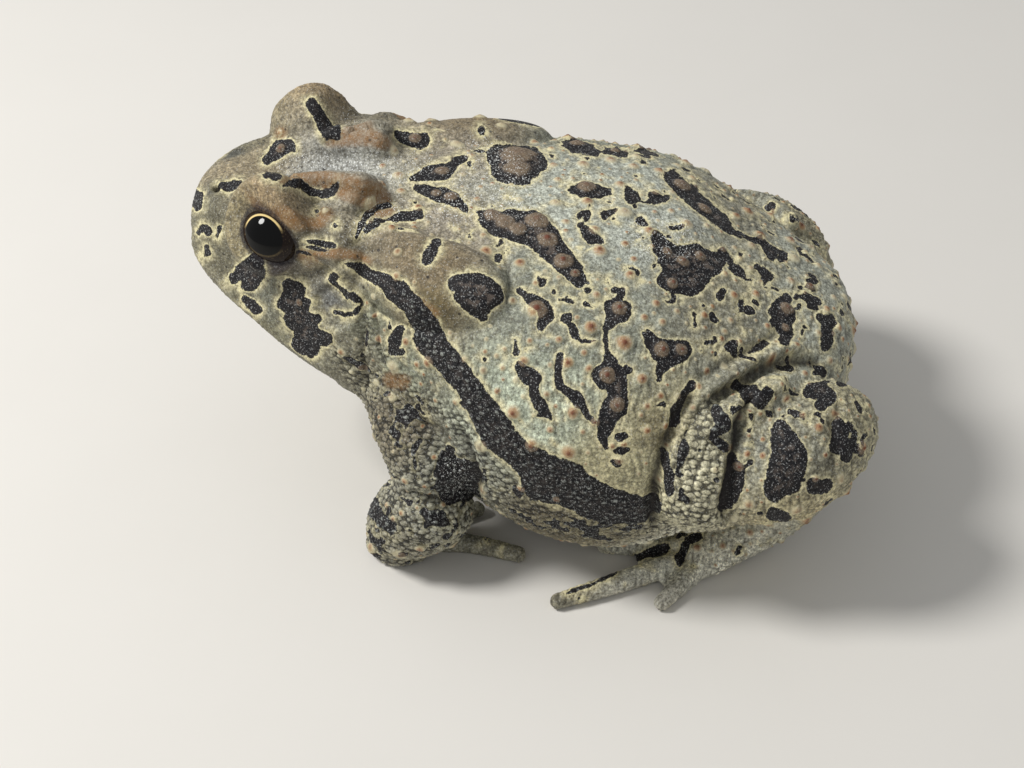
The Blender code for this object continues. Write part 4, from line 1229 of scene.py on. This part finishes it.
def region_masks(skin):
    """How strongly each kind of surface shows, from 0 to 1."""
    places = skin.twin
    back = places[:, 1]
    height = places[:, 2]
    arm = least(path_gap(places, path) for path in (ARM_PATH, FOREARM_PATH))
    shank = path_gap(places, SHANK_PATH)
    thigh = path_gap(places, LEG_PATH)
    digits = least(chain_gap(places, path) for path in FINGERS + TOES)
    foot = np.minimum(path_gap(places, FOOT_PATH), digits)
    off_tarsus = 1 - ease(1.2, 0.3, np.minimum(foot, shank))
    masks = {
        "arm": ease(1.2, 0.2, arm),
        "shank": ease(1.0, 0.2, shank),
        "thigh": ease(1.0, 0.2, thigh) * ease(0.2, 0.8, shank) * ease(22.0, 17.0, height),
        "foot": ease(0.8, 0.1, foot) * ease(10.0, 7.0, height),
        "digit": ease(0.9, 0.2, digits) * ease(4.0, 2.6, height),
        "head": ease(25.0, 21.0, back),
        "gland": ease(1.05, 0.95, gland_share(places)),
    }
    belly = ease(-0.1, -0.55, skin.normals[:, 2]) * ease(14.0, 8.0, height)
    masks["belly"] = belly * (1 - masks["foot"]) * off_tarsus
    rump = ease(58.0, 66.0, back) * ease(10.0, 16.0, height)
    masks["rump"] = rump * (1 - masks["shank"])
    masks["flank"] = ease(20.0, 12.0, height) * (1 - masks["arm"]) * off_tarsus
    return masks


def gland_share(places):
    """Distance from the middle of the gland as a share of its size."""
    tilt = math.radians(GLAND_TILT)
    yaw = math.radians(GLAND_YAW)
    offset = places - np.array(GLAND_CENTRE)
    x = offset[:, 0] * math.cos(yaw) + offset[:, 1] * math.sin(yaw)
    y = -offset[:, 0] * math.sin(yaw) + offset[:, 1] * math.cos(yaw)
    across = x * math.cos(tilt) - offset[:, 2] * math.sin(tilt)
    return np.hypot(across / GLAND_RADII[0], y / GLAND_RADII[1])


def scatter_warts(skin, masks, gap, taken, sizes, chance):
    """Warts spread at random where the body carries them."""
    small, large, spacing, tries = sizes
    picks = chance.integers(0, skin.count, tries)
    radii = small + (large - small) * chance.random(tries) ** 1.6
    roll = chance.random(tries)
    density = np.ones(skin.count)
    for kind, share in BARE_KINDS.items():
        density *= 1 - share * masks[kind]
    density *= ease(1.2, 3.0, skin.points[:, 2])
    density *= ease(-0.2, 0.5, gap)
    found = []
    places = [wart[0] for wart in taken]
    reach = [wart[1] for wart in taken]
    for pick, radius, lot in zip(picks, radii, roll):
        if lot > density[pick]:
            continue
        spot = skin.points[pick]
        if places:
            apart = np.linalg.norm(np.array(places) - spot, axis=1)
            if (apart < np.maximum(spacing * 0.5 + radius, np.array(reach) * 1.15 + radius)).any():
                continue
        found.append((spot, radius, chance.uniform(0.15, 0.95)))
        places.append(spot)
        reach.append(radius)
    return found


def eye_clear(spot):
    """True if a wart there stays off the lids' opening."""
    eye = on_side(EYE_CENTRE, math.copysign(1.0, spot[0]))
    return np.linalg.norm(spot - eye) > EYE_RADIUS + WART_FREE_EYE


def all_warts(skin, masks, gap):
    """Warts as place, radius and strength of the tip: seen ones, then scattered."""
    chance = np.random.default_rng(SEED)
    warts = []
    for across, down, radius, tip in SEEN_WARTS:
        hit = skin.lift((across, down))
        if hit is None:
            continue
        spot, normal = hit
        size = radius * np.linalg.norm(spot - CAMERA_PLACE) / FOCAL_PIXELS
        warts.append((spot, size, tip))
        if skin.hidden_twin(normal):
            warts.append((on_side(spot, -1.0), size, tip))
    for sizes in (WIDE_WARTS, FINE_WARTS):
        warts += scatter_warts(skin, masks, gap, warts, sizes, chance)
    return [wart for wart in warts if eye_clear(wart[0])]


def wart_relief(skin, warts):
    """Rise of every point, and its share of a wart, of rust and of a rusty tip."""
    tree = KDTree(skin.count)
    for index, point in enumerate(skin.points.tolist()):
        tree.insert(point, index)
    tree.balance()
    rise = np.zeros(skin.count)
    dome = np.zeros(skin.count)
    rust = np.zeros(skin.count)
    tips = np.zeros(skin.count)
    uneven = 1.16 - 0.32 * cloud(skin.points, 0.7, 43)
    for spot, radius, tip in warts:
        found = tree.find_range(spot, radius * 1.3)
        if not found:
            continue
        index = np.array([item[1] for item in found])
        gap = np.array([item[2] for item in found]) / radius * uneven[index]
        hump = np.clip(1 - (gap / 1.1) ** 2, 0.0, 1.0) ** 1.2
        peak = np.clip(1 - (gap / 0.34) ** 2, 0.0, 1.0) ** 1.5
        height = 0.70 * radius / (1 + 0.45 * radius)
        rise[index] = np.maximum(rise[index], height * hump + 0.16 * tip * radius * peak)
        dome[index] = np.maximum(dome[index], ease(1.05, 0.35, gap))
        rust[index] = np.maximum(rust[index], tip * ease(0.95, 0.2, gap))
        tips[index] = np.maximum(tips[index], tip * ease(0.36, 0.12, gap))
    return rise, dome, rust, tips


def grain_relief(skin, masks, granular):
    """Cobbles of the skin: rise in millimetres, share of each grain, how coarse."""
    bumpy = 0.35 + 0.65 * cloud(skin.points, 5.0, 3)
    coarse = pebbles(turned(skin.points * GRAIN_STRETCH, *GRAIN_TURN), GRAIN_SIZE, 21)
    fine = pebbles(turned(skin.points, *GRAIN_TURN) + 40.0, FINE_GRAIN_SIZE, 31)
    low_flank = masks["flank"] * ease(11.0, 6.0, skin.points[:, 2])
    limbs = (masks["arm"], masks["thigh"], masks["belly"], 0.35 * masks["shank"])
    strong = most((0.95 * granular, low_flank, *limbs)) * (1 - masks["digit"])
    smooth = 1 - 0.8 * masks["gland"]
    rise = strong * 0.26 * coarse
    rise += (1 - strong) * smooth * bumpy * (0.07 * coarse + 0.07 * fine)
    rise += 0.04 * strong * fine
    share = np.clip(strong * coarse + (1 - strong) * smooth * 0.7 * fine, 0.0, 1.0)
    return rise, share, strong


def mottle_gap(skin, masks):
    """Ragged blotches of limbs, belly and rump, as millimetres outside them."""
    wide = cloud(skin.points, 2.8, 71) + 0.5 * cloud(skin.points, 1.0, 72)
    small = cloud(skin.points, 1.7, 73) + 0.5 * cloud(skin.points, 0.7, 74)
    where = most((masks["arm"], masks["belly"], masks["patch"])) * (1 - masks["digit"])
    plain = np.maximum(masks["head"], masks["gland"])
    blotches = (0.92 - wide) * 2.6 + NO_MARK * (1 - where)
    crumbs = (1.16 - 0.15 * masks["rump"] - small) * 2.2 + NO_MARK * plain
    return np.minimum(blotches, crumbs)


def wrinkles(skin, masks):
    """Fine upright creases of the flank: rise, and painted shade deep in each crease."""
    points = skin.points
    wave = points[:, 1] + 1.4 * cloud(points, 2.6, 51) + 0.5 * cloud(points, 0.9, 52)
    crease = np.sin(2 * math.pi * wave / CREASE_WIDTH)
    where = ease(36.0, 30.0, points[:, 2]) * ease(26.0, 30.0, points[:, 1])
    where *= 1 - masks["arm"]
    where *= (1 - masks["gland"]) * ease(0.3, 0.6, cloud(points, 2.0, 53))
    return CREASE_RISE * crease * where, where * ease(-0.55, -0.95, crease)


def region_tone(skin):
    """Colour of each point, blended between the named regions."""
    total = np.full(skin.count, 1e-4)
    colour = np.full((skin.count, 3), 1e-4) * np.array(REGION_TONES["middle of the back"][2])
    for pixel, reach, tone in REGION_TONES.values():
        hit = skin.lift(pixel)
        if hit is None:
            continue
        gap = np.linalg.norm(skin.twin - hit[0], axis=1) / reach
        weight = 1.0 / (0.05 + gap ** 4)
        total += weight
        colour += weight[:, None] * np.array(tone)
    return colour / total[:, None]


def add_value(mesh, name, values):
    mesh.attributes.new(name, "FLOAT", "POINT").data.foreach_set("value", values.astype(np.float32))


def add_colour(mesh, name, colour):
    full = np.concatenate((colour, np.ones((len(colour), 1))), axis=1).astype(np.float32)
    mesh.attributes.new(name, "FLOAT_COLOR", "POINT").data.foreach_set("color", full.ravel())


def smoothed_mesh():
    """All forms in one skin, smoothed least on fingers and toes."""
    mesh = remeshed(base_mesh())
    points = read_points(mesh)
    chains = []
    for path in FINGERS + TOES:
        chains += [path, twin_path(path), twin_path(path, FAR_LEG_SHIFT)]
    digits = least(chain_gap(points, chain) for chain in chains)
    weight = RELAX_DIGITS + RELAX_MORE * ease(0.3, 2.2, digits)[:, None]
    points = relax(points, read_edges(mesh), RELAX_ROUNDS, weight)
    write_points(mesh, points)
    write_points(mesh, push_swells(points, read_normals(mesh)))
    return mesh


def fixed_relief(skin):
    """Lips, eardrums, nostrils, ridges and creases: rise, and the painted shade in the lip groove,
    the nostril's pit and the creases.
    """
    relief, shade = mouth_relief(skin.points)
    relief += eardrum_relief(skin.points)
    nostril = skin.string_gap(NOSTRIL)
    relief += 0.28 * hump(nostril, 0.42, 0.30) - 0.8 * ease(0.12, -0.28, nostril)
    # Painted shade: the nostril's pit drawn black
    shade += 1.2 * ease(0.10, -0.12, nostril)
    for rise, chain in RIDGES.values():
        edge = FINE_EDGE if max(link[2] for link in chain) <= FINE_CREASE else WIDE_EDGE
        share = ease(edge, -0.7 * edge, skin.string_gap(chain))
        relief += rise * share
        # Painted shade in the grooves, which have a minus rise
        shade += max(-rise, 0.0) ** 0.5 * share ** 2
    relief -= 0.25 * hump(gland_share(skin.twin), 1.05, 0.07)
    return relief, np.clip(shade, 0.0, 1.0)


def build_skin():
    mesh = smoothed_mesh()
    tree = BVHTree.FromPolygons(read_points(mesh).tolist(), read_quads(mesh).tolist())
    mesh = subdivided(mesh)
    skin = Skin(mesh, tree)
    masks = region_masks(skin)
    relief, shade = fixed_relief(skin)

    band = skin.marks_gap(SIDE_BAND)
    granular = ease(0.3, -0.5, band) * ease(24.0, 30.0, skin.points[:, 1])
    masks["patch"] = ease(0.6, -0.8, skin.marks_gap(COARSE_MARKS))
    gap = least((skin.marks_gap(DARK_MARKS), band, mottle_gap(skin, masks)))
    gap += 0.5 * (cloud(skin.points, 1.3, 61) - 0.5) + 0.22 * (cloud(skin.points, 0.5, 62) - 0.5)
    rise, dome, rust, tips = wart_relief(skin, all_warts(skin, masks, gap))
    granular = np.maximum(granular, masks["patch"])
    grain, grain_share, coarse = grain_relief(skin, masks, granular)
    folds, crease = wrinkles(skin, masks)
    relief += rise + grain * (1 - 0.6 * dome) + folds

    points = skin.points + skin.normals * relief[:, None]
    lid_spread = open_lids(points)
    points[:, 2] = np.maximum(points[:, 2], 0.0)
    write_points(mesh, place(points))
    values = {
        "mark_gap": gap,
        "brown": ease(0.5, -0.3, skin.marks_gap(BROWN_MARKS)),
        "sand": ease(1.2, -1.0, skin.marks_gap(SAND_MARKS)),
        "dome": dome,
        "tip": tips,
        "rust": rust,
        "grain": grain_share,
        "coarse": coarse,
        "crease": crease,
        # Where the painted shade of small pits is drawn: the gland, and less on the head
        "pit_shade": np.maximum(masks["gland"], 0.8 * masks["head"]),
        "shade": shade,
        # Painted shade under the brow along the lids' edge
        "lid": ease(1.10, 1.02, lid_spread),
    }
    for name, value in values.items():
        add_value(mesh, name, value)
    add_colour(mesh, "tone", region_tone(skin))
    mesh.shade_smooth()
    return add_object("skin", mesh)


class Net:
    """Short names for the nodes of one material."""

    def __init__(self, name):
        self.material = bpy.data.materials.new(name)
        self.material.use_nodes = True
        self.tree = self.material.node_tree
        self.place = self.millimetres()

    def fill(self, node, inputs):
        """Feeds inputs, by name or number, with values or the outputs of nodes."""
        for name, value in inputs.items():
            if isinstance(value, bpy.types.NodeSocket):
                self.tree.links.new(value, node.inputs[name])
            else:
                node.inputs[name].default_value = value

    def node(self, kind, inputs, **settings):
        """The outputs of a new node."""
        made = self.tree.nodes.new(kind)
        for name, value in settings.items():
            setattr(made, name, value)
        self.fill(made, inputs)
        return made.outputs

    def value(self, name):
        return self.node("ShaderNodeAttribute", {}, attribute_name=name)["Fac"]

    def colour(self, name):
        return self.node("ShaderNodeAttribute", {}, attribute_name=name)["Color"]

    def math(self, operation, first, second):
        return self.node("ShaderNodeMath", {0: first, 1: second}, operation=operation)[0]

    def plus(self, first, second):
        return self.math("ADD", first, second)

    def minus(self, first, second):
        return self.math("SUBTRACT", first, second)

    def rest(self, share):
        return self.minus(1.0, share)

    def times(self, *factors):
        return functools.reduce(lambda one, two: self.math("MULTIPLY", one, two), factors)

    def mix(self, share, first, second, kind="MIX"):
        inputs = {0: share, 6: first, 7: second}
        return self.node("ShaderNodeMix", inputs, data_type="RGBA", blend_type=kind)[2]

    def tint(self, colour, factor):
        """A colour multiplied by a colour or a number."""
        return self.mix(1.0, colour, factor, "MULTIPLY")

    def ramp(self, value, low, high, start=0.0, end=1.0):
        inputs = dict(enumerate((value, low, high, start, end)))
        return self.node("ShaderNodeMapRange", inputs, interpolation_type="SMOOTHSTEP")[0]

    def millimetres(self):
        """The object's own coordinates, in millimetres."""
        own = self.node("ShaderNodeTexCoord", {})["Object"]
        return self.node("ShaderNodeVectorMath", {0: own, "Scale": 1 / MM}, operation="SCALE")[0]

    def noise(self, scale, detail, roughness=0.5):
        inputs = {"Vector": self.place, "Scale": scale, "Detail": detail, "Roughness": roughness}
        return self.node("ShaderNodeTexNoise", inputs)["Fac"]

    def cells(self, scale):
        inputs = {"Vector": self.place, "Scale": scale}
        return self.node("ShaderNodeTexVoronoi", inputs)["Distance"]

    def bump(self, height):
        inputs = {"Height": height, "Strength": BUMP_STRENGTH, "Distance": BUMP_DEPTH}
        return self.node("ShaderNodeBump", inputs)["Normal"]

    def surface(self, inputs):
        """The material, once its shader has these inputs."""
        self.fill(self.tree.nodes["Principled BSDF"], inputs)
        return self.material


def skin_material():
    net = Net("toad_skin")
    soft = net.noise(0.55, 3.0)
    middle = net.noise(1.6, 3.0, 0.6)
    fine = net.noise(3.6, 3.0, 0.7)
    gritty = net.noise(5.5, 2.0, 0.6)
    grain = net.value("grain")
    dome = net.value("dome")
    coarse = net.value("coarse")
    brown = net.value("brown")

    # Dark marks by their gap, each with a thin cream rim and a wide soft halo
    gap = net.plus(net.value("mark_gap"), net.times(net.minus(fine, 0.5), 0.42))
    dark = net.ramp(gap, -0.05, 0.05, 1.0, 0.0)
    bare = net.rest(net.times(brown, 0.85))
    reach = net.ramp(middle, 0.3, 0.7, 0.12, 0.52)
    calm = net.rest(net.times(coarse, 0.7))
    rim = net.times(net.ramp(gap, 0.03, reach, 1.0, 0.0), net.rest(dark), bare, calm)
    cloudy = net.ramp(soft, 0.35, 0.6, 0.25, 0.75)
    halo = net.times(net.ramp(gap, 0.1, 1.0, 1.0, 0.0), cloudy, bare, net.rest(coarse))

    # Ground: the tones of the regions, mottled at three sizes, with painted shade between the
    # grains and painted light on their tops
    ground = net.tint(net.colour("tone"), SKIN_BALANCE)
    ground = net.mix(halo, ground, HALO_CREAM)
    ground = net.tint(ground, net.ramp(soft, 0.32, 0.68, 0.84, 1.16))
    ground = net.tint(ground, net.ramp(middle, 0.34, 0.66, 0.74, 1.24))
    ground = net.tint(ground, net.ramp(fine, 0.38, 0.62, 0.72, 1.24))
    # Painted shade between the grains and painted light on the grain tops
    between = net.minus(0.80, net.times(coarse, 0.66))
    lit = net.plus(1.12, net.times(coarse, 0.16))
    ground = net.tint(ground, net.ramp(grain, 0.05, 0.45, between, lit))
    flecks = net.times(net.ramp(gritty, 0.43, 0.38), net.ramp(middle, 0.42, 0.58, 0.65, 0.15))
    ground = net.mix(flecks, ground, OLIVE_FLECK)
    crests = net.times(brown, net.ramp(middle, 0.3, 0.6, 0.95, 0.6))
    ground = net.mix(crests, ground, CREST_BROWN)
    # Painted shade: dark dots for small pits on the gland and head, which the shape does not have
    pit_shade = net.times(net.ramp(net.cells(0.8), 0.09, 0.19, 1.0, 0.0), net.value("pit_shade"), 0.85)
    ground = net.mix(pit_shade, ground, DARK_WARM)
    wart = net.mix(net.ramp(net.value("rust"), 0.05, 0.75), WART_CREAM, WART_ORANGE)
    ground = net.mix(net.times(net.ramp(dome, 0.0, 0.8), 0.72), ground, wart)
    ground = net.mix(net.times(rim, net.ramp(gritty, 0.38, 0.58, 0.4, 0.95)), ground, RIM_CREAM)
    # Painted shade in the valleys of the flank's fine creases
    ground = net.mix(net.times(net.value("crease"), 0.45), ground, CREASE_SHADE)

    # Inside the marks: grey-brown hearts, pale grains and umber warts
    night = net.mix(net.ramp(middle, 0.35, 0.7), DARK, DARK_WARM)
    hearts = net.times(net.ramp(gap, -0.55, -1.2), net.ramp(middle, 0.46, 0.62))
    hearts = net.times(hearts, net.minus(0.85, net.times(coarse, 0.75)))
    night = net.mix(hearts, night, MARK_INNER)
    grains = net.times(net.ramp(grain, 0.45, 1.0), net.ramp(fine, 0.42, 0.62, 0.05, 0.9), coarse)
    night = net.mix(grains, night, GRAIN_PALE)
    umber = net.tint(WART_UMBER, net.ramp(fine, 0.35, 0.65, 0.72, 1.28))
    night = net.mix(net.ramp(dome, 0.08, 0.6, 0.0, 0.95), night, umber)

    # Over both: grit, rusty tips, painted shade under the brow at the lids' edge, and painted shade
    # in the creases, the lip groove and the nostril's pit
    colour = net.mix(dark, ground, night)
    sand = net.plus(net.value("sand"), net.times(dark, 0.22))
    grit = net.times(net.ramp(gritty, 0.60, 0.64), net.ramp(sand, 0.0, 1.0, 0.25, 0.9))
    colour = net.mix(grit, colour, SAND_WHITE)
    colour = net.mix(net.value("tip"), colour, TIP_RUST)
    # Painted shade under the brow at the lids' edge
    lid = net.times(net.value("lid"), net.ramp(fine, 0.3, 0.6, 1.0, 0.75))
    colour = net.mix(lid, colour, LID_SHADE)
    # Painted shade in the creases, the lip groove and the nostril's pit
    colour = net.mix(net.times(net.value("shade"), 0.95), colour, CREASE_SHADE)
    return net.surface({
        "Base Color": colour,
        "Roughness": net.ramp(fine, 0.3, 0.7, 0.66, 0.46),
        "Normal": net.bump(net.plus(net.times(fine, 0.6), net.times(gritty, 0.4))),
        "Specular IOR Level": 0.3,
    })


def eye_material():
    net = Net("toad_eye")
    ring = net.value("pupil_spread")
    flakes = net.ramp(net.noise(5.0, 4.0, 0.6), 0.55, 0.78, 0.0, 0.22)
    colour = net.mix(flakes, IRIS_BROWN, IRIS_GOLD)
    colour = net.mix(net.ramp(ring, 1.18, 1.55), colour, IRIS_BROWN)
    thin = net.times(net.ramp(ring, 0.93, 0.98), net.ramp(ring, 1.02, 1.10, 1.0, 0.0))
    # Painted light: the gold ring shows on its upper arc
    colour = net.mix(net.times(thin, net.value("ring_painted_light")), colour, IRIS_GOLD)
    colour = net.mix(net.ramp(ring, 0.93, 0.97, 1.0, 0.0), colour, PUPIL_BLACK)
    colour = net.mix(net.ramp(ring, 1.6, 2.1), colour, PUPIL_BLACK)
    return net.surface({"Base Color": colour, "Roughness": 0.06, "Specular IOR Level": 0.2})


def build_eye(name, side, material):
    """A smooth ball with the oval pupil and its thin golden ring, painted lit on its upper arc."""
    centre = on_side(EYE_CENTRE, side)
    verts, faces = ellipsoid(centre, (EYE_RADIUS,) * 3, around=96, rows=64)
    mesh = outward_mesh(name, place(verts), faces)
    rays = (verts - centre) / EYE_RADIUS
    ways = eye_ways(side, PUPIL_AXIS)
    upward = upper_share(rays, ways)
    add_value(mesh, "pupil_spread", oval_spread(rays, ways, PUPIL_SPREADS))
    # Painted light: the gold ring bright on its upper arc, faint at the lower rim
    add_value(mesh, "ring_painted_light", ease(0.12, 0.36, upward) + 0.08 * ease(-0.3, -0.45, upward))
    mesh.shade_smooth()
    mesh.materials.append(material)
    return add_object(name, mesh)


def floor_material():
    net = Net("floor_pale")
    clouds = net.ramp(net.noise(0.05, 3.0), 0.3, 0.7, 0.0, 0.12)
    return net.surface({"Base Color": net.mix(clouds, FLOOR_PALE, FLOOR_GREY), "Roughness": 0.85})


def build_floor():
    half = FLOOR_HALF
    corners = ((-half, -half), (half, -half), (half, half), (-half, half))
    mesh = bpy.data.meshes.new("floor")
    mesh.from_pydata([(x, y, -FLOOR_DEPTH) for x, y in corners], [], [(0, 1, 2, 3)])
    mesh.materials.append(floor_material())
    add_object("floor", mesh)


def light_scene():
    key = bpy.data.lights.new("key", "AREA")
    key.shape = "DISK"
    key.size = KEY_SIZE
    key.energy = KEY_POWER
    key.color = KEY_WHITE
    made = add_object("key", key)
    way = Vector(KEY_WAY).normalized()
    made.location = way * KEY_DISTANCE
    made.rotation_euler = way.to_track_quat("Z", "Y").to_euler()
    sky = bpy.data.worlds.new("sky")
    sky.use_nodes = True
    background = sky.node_tree.nodes["Background"]
    background.inputs["Color"].default_value = (*SKY_WHITE, 1.0)
    background.inputs["Strength"].default_value = SKY_STRENGTH
    bpy.context.scene.world = sky
    bpy.context.scene.view_settings.view_transform = "Standard"


def add_camera():
    lens = bpy.data.cameras.new("photo_camera")
    lens.sensor_fit = "HORIZONTAL"
    lens.sensor_width = SENSOR_WIDTH
    lens.lens = FOCAL_PIXELS / PHOTO_WIDTH * SENSOR_WIDTH
    lens.clip_start = 0.01
    made = add_object("photo_camera", lens)
    made.location = place(CAMERA_PLACE)
    made.rotation_euler = Vector(-TOWARD).to_track_quat("-Z", "Y").to_euler()
    bpy.context.scene.camera = made


def main():
    skin = build_skin()
    skin.data.materials.append(skin_material())
    eye_look = eye_material()
    eye_left = build_eye("eyeball_left", 1.0, eye_look)
    eye_right = build_eye("eyeball_right", -1.0, eye_look)
    flesh = [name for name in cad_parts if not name.startswith("eye_")]
    for piece in (skin, eye_left, eye_right):
        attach(piece, "root")
    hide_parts(*flesh)
    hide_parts("eye_left")
    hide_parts("eye_right")
    build_floor()
    light_scene()
    add_camera()


main()
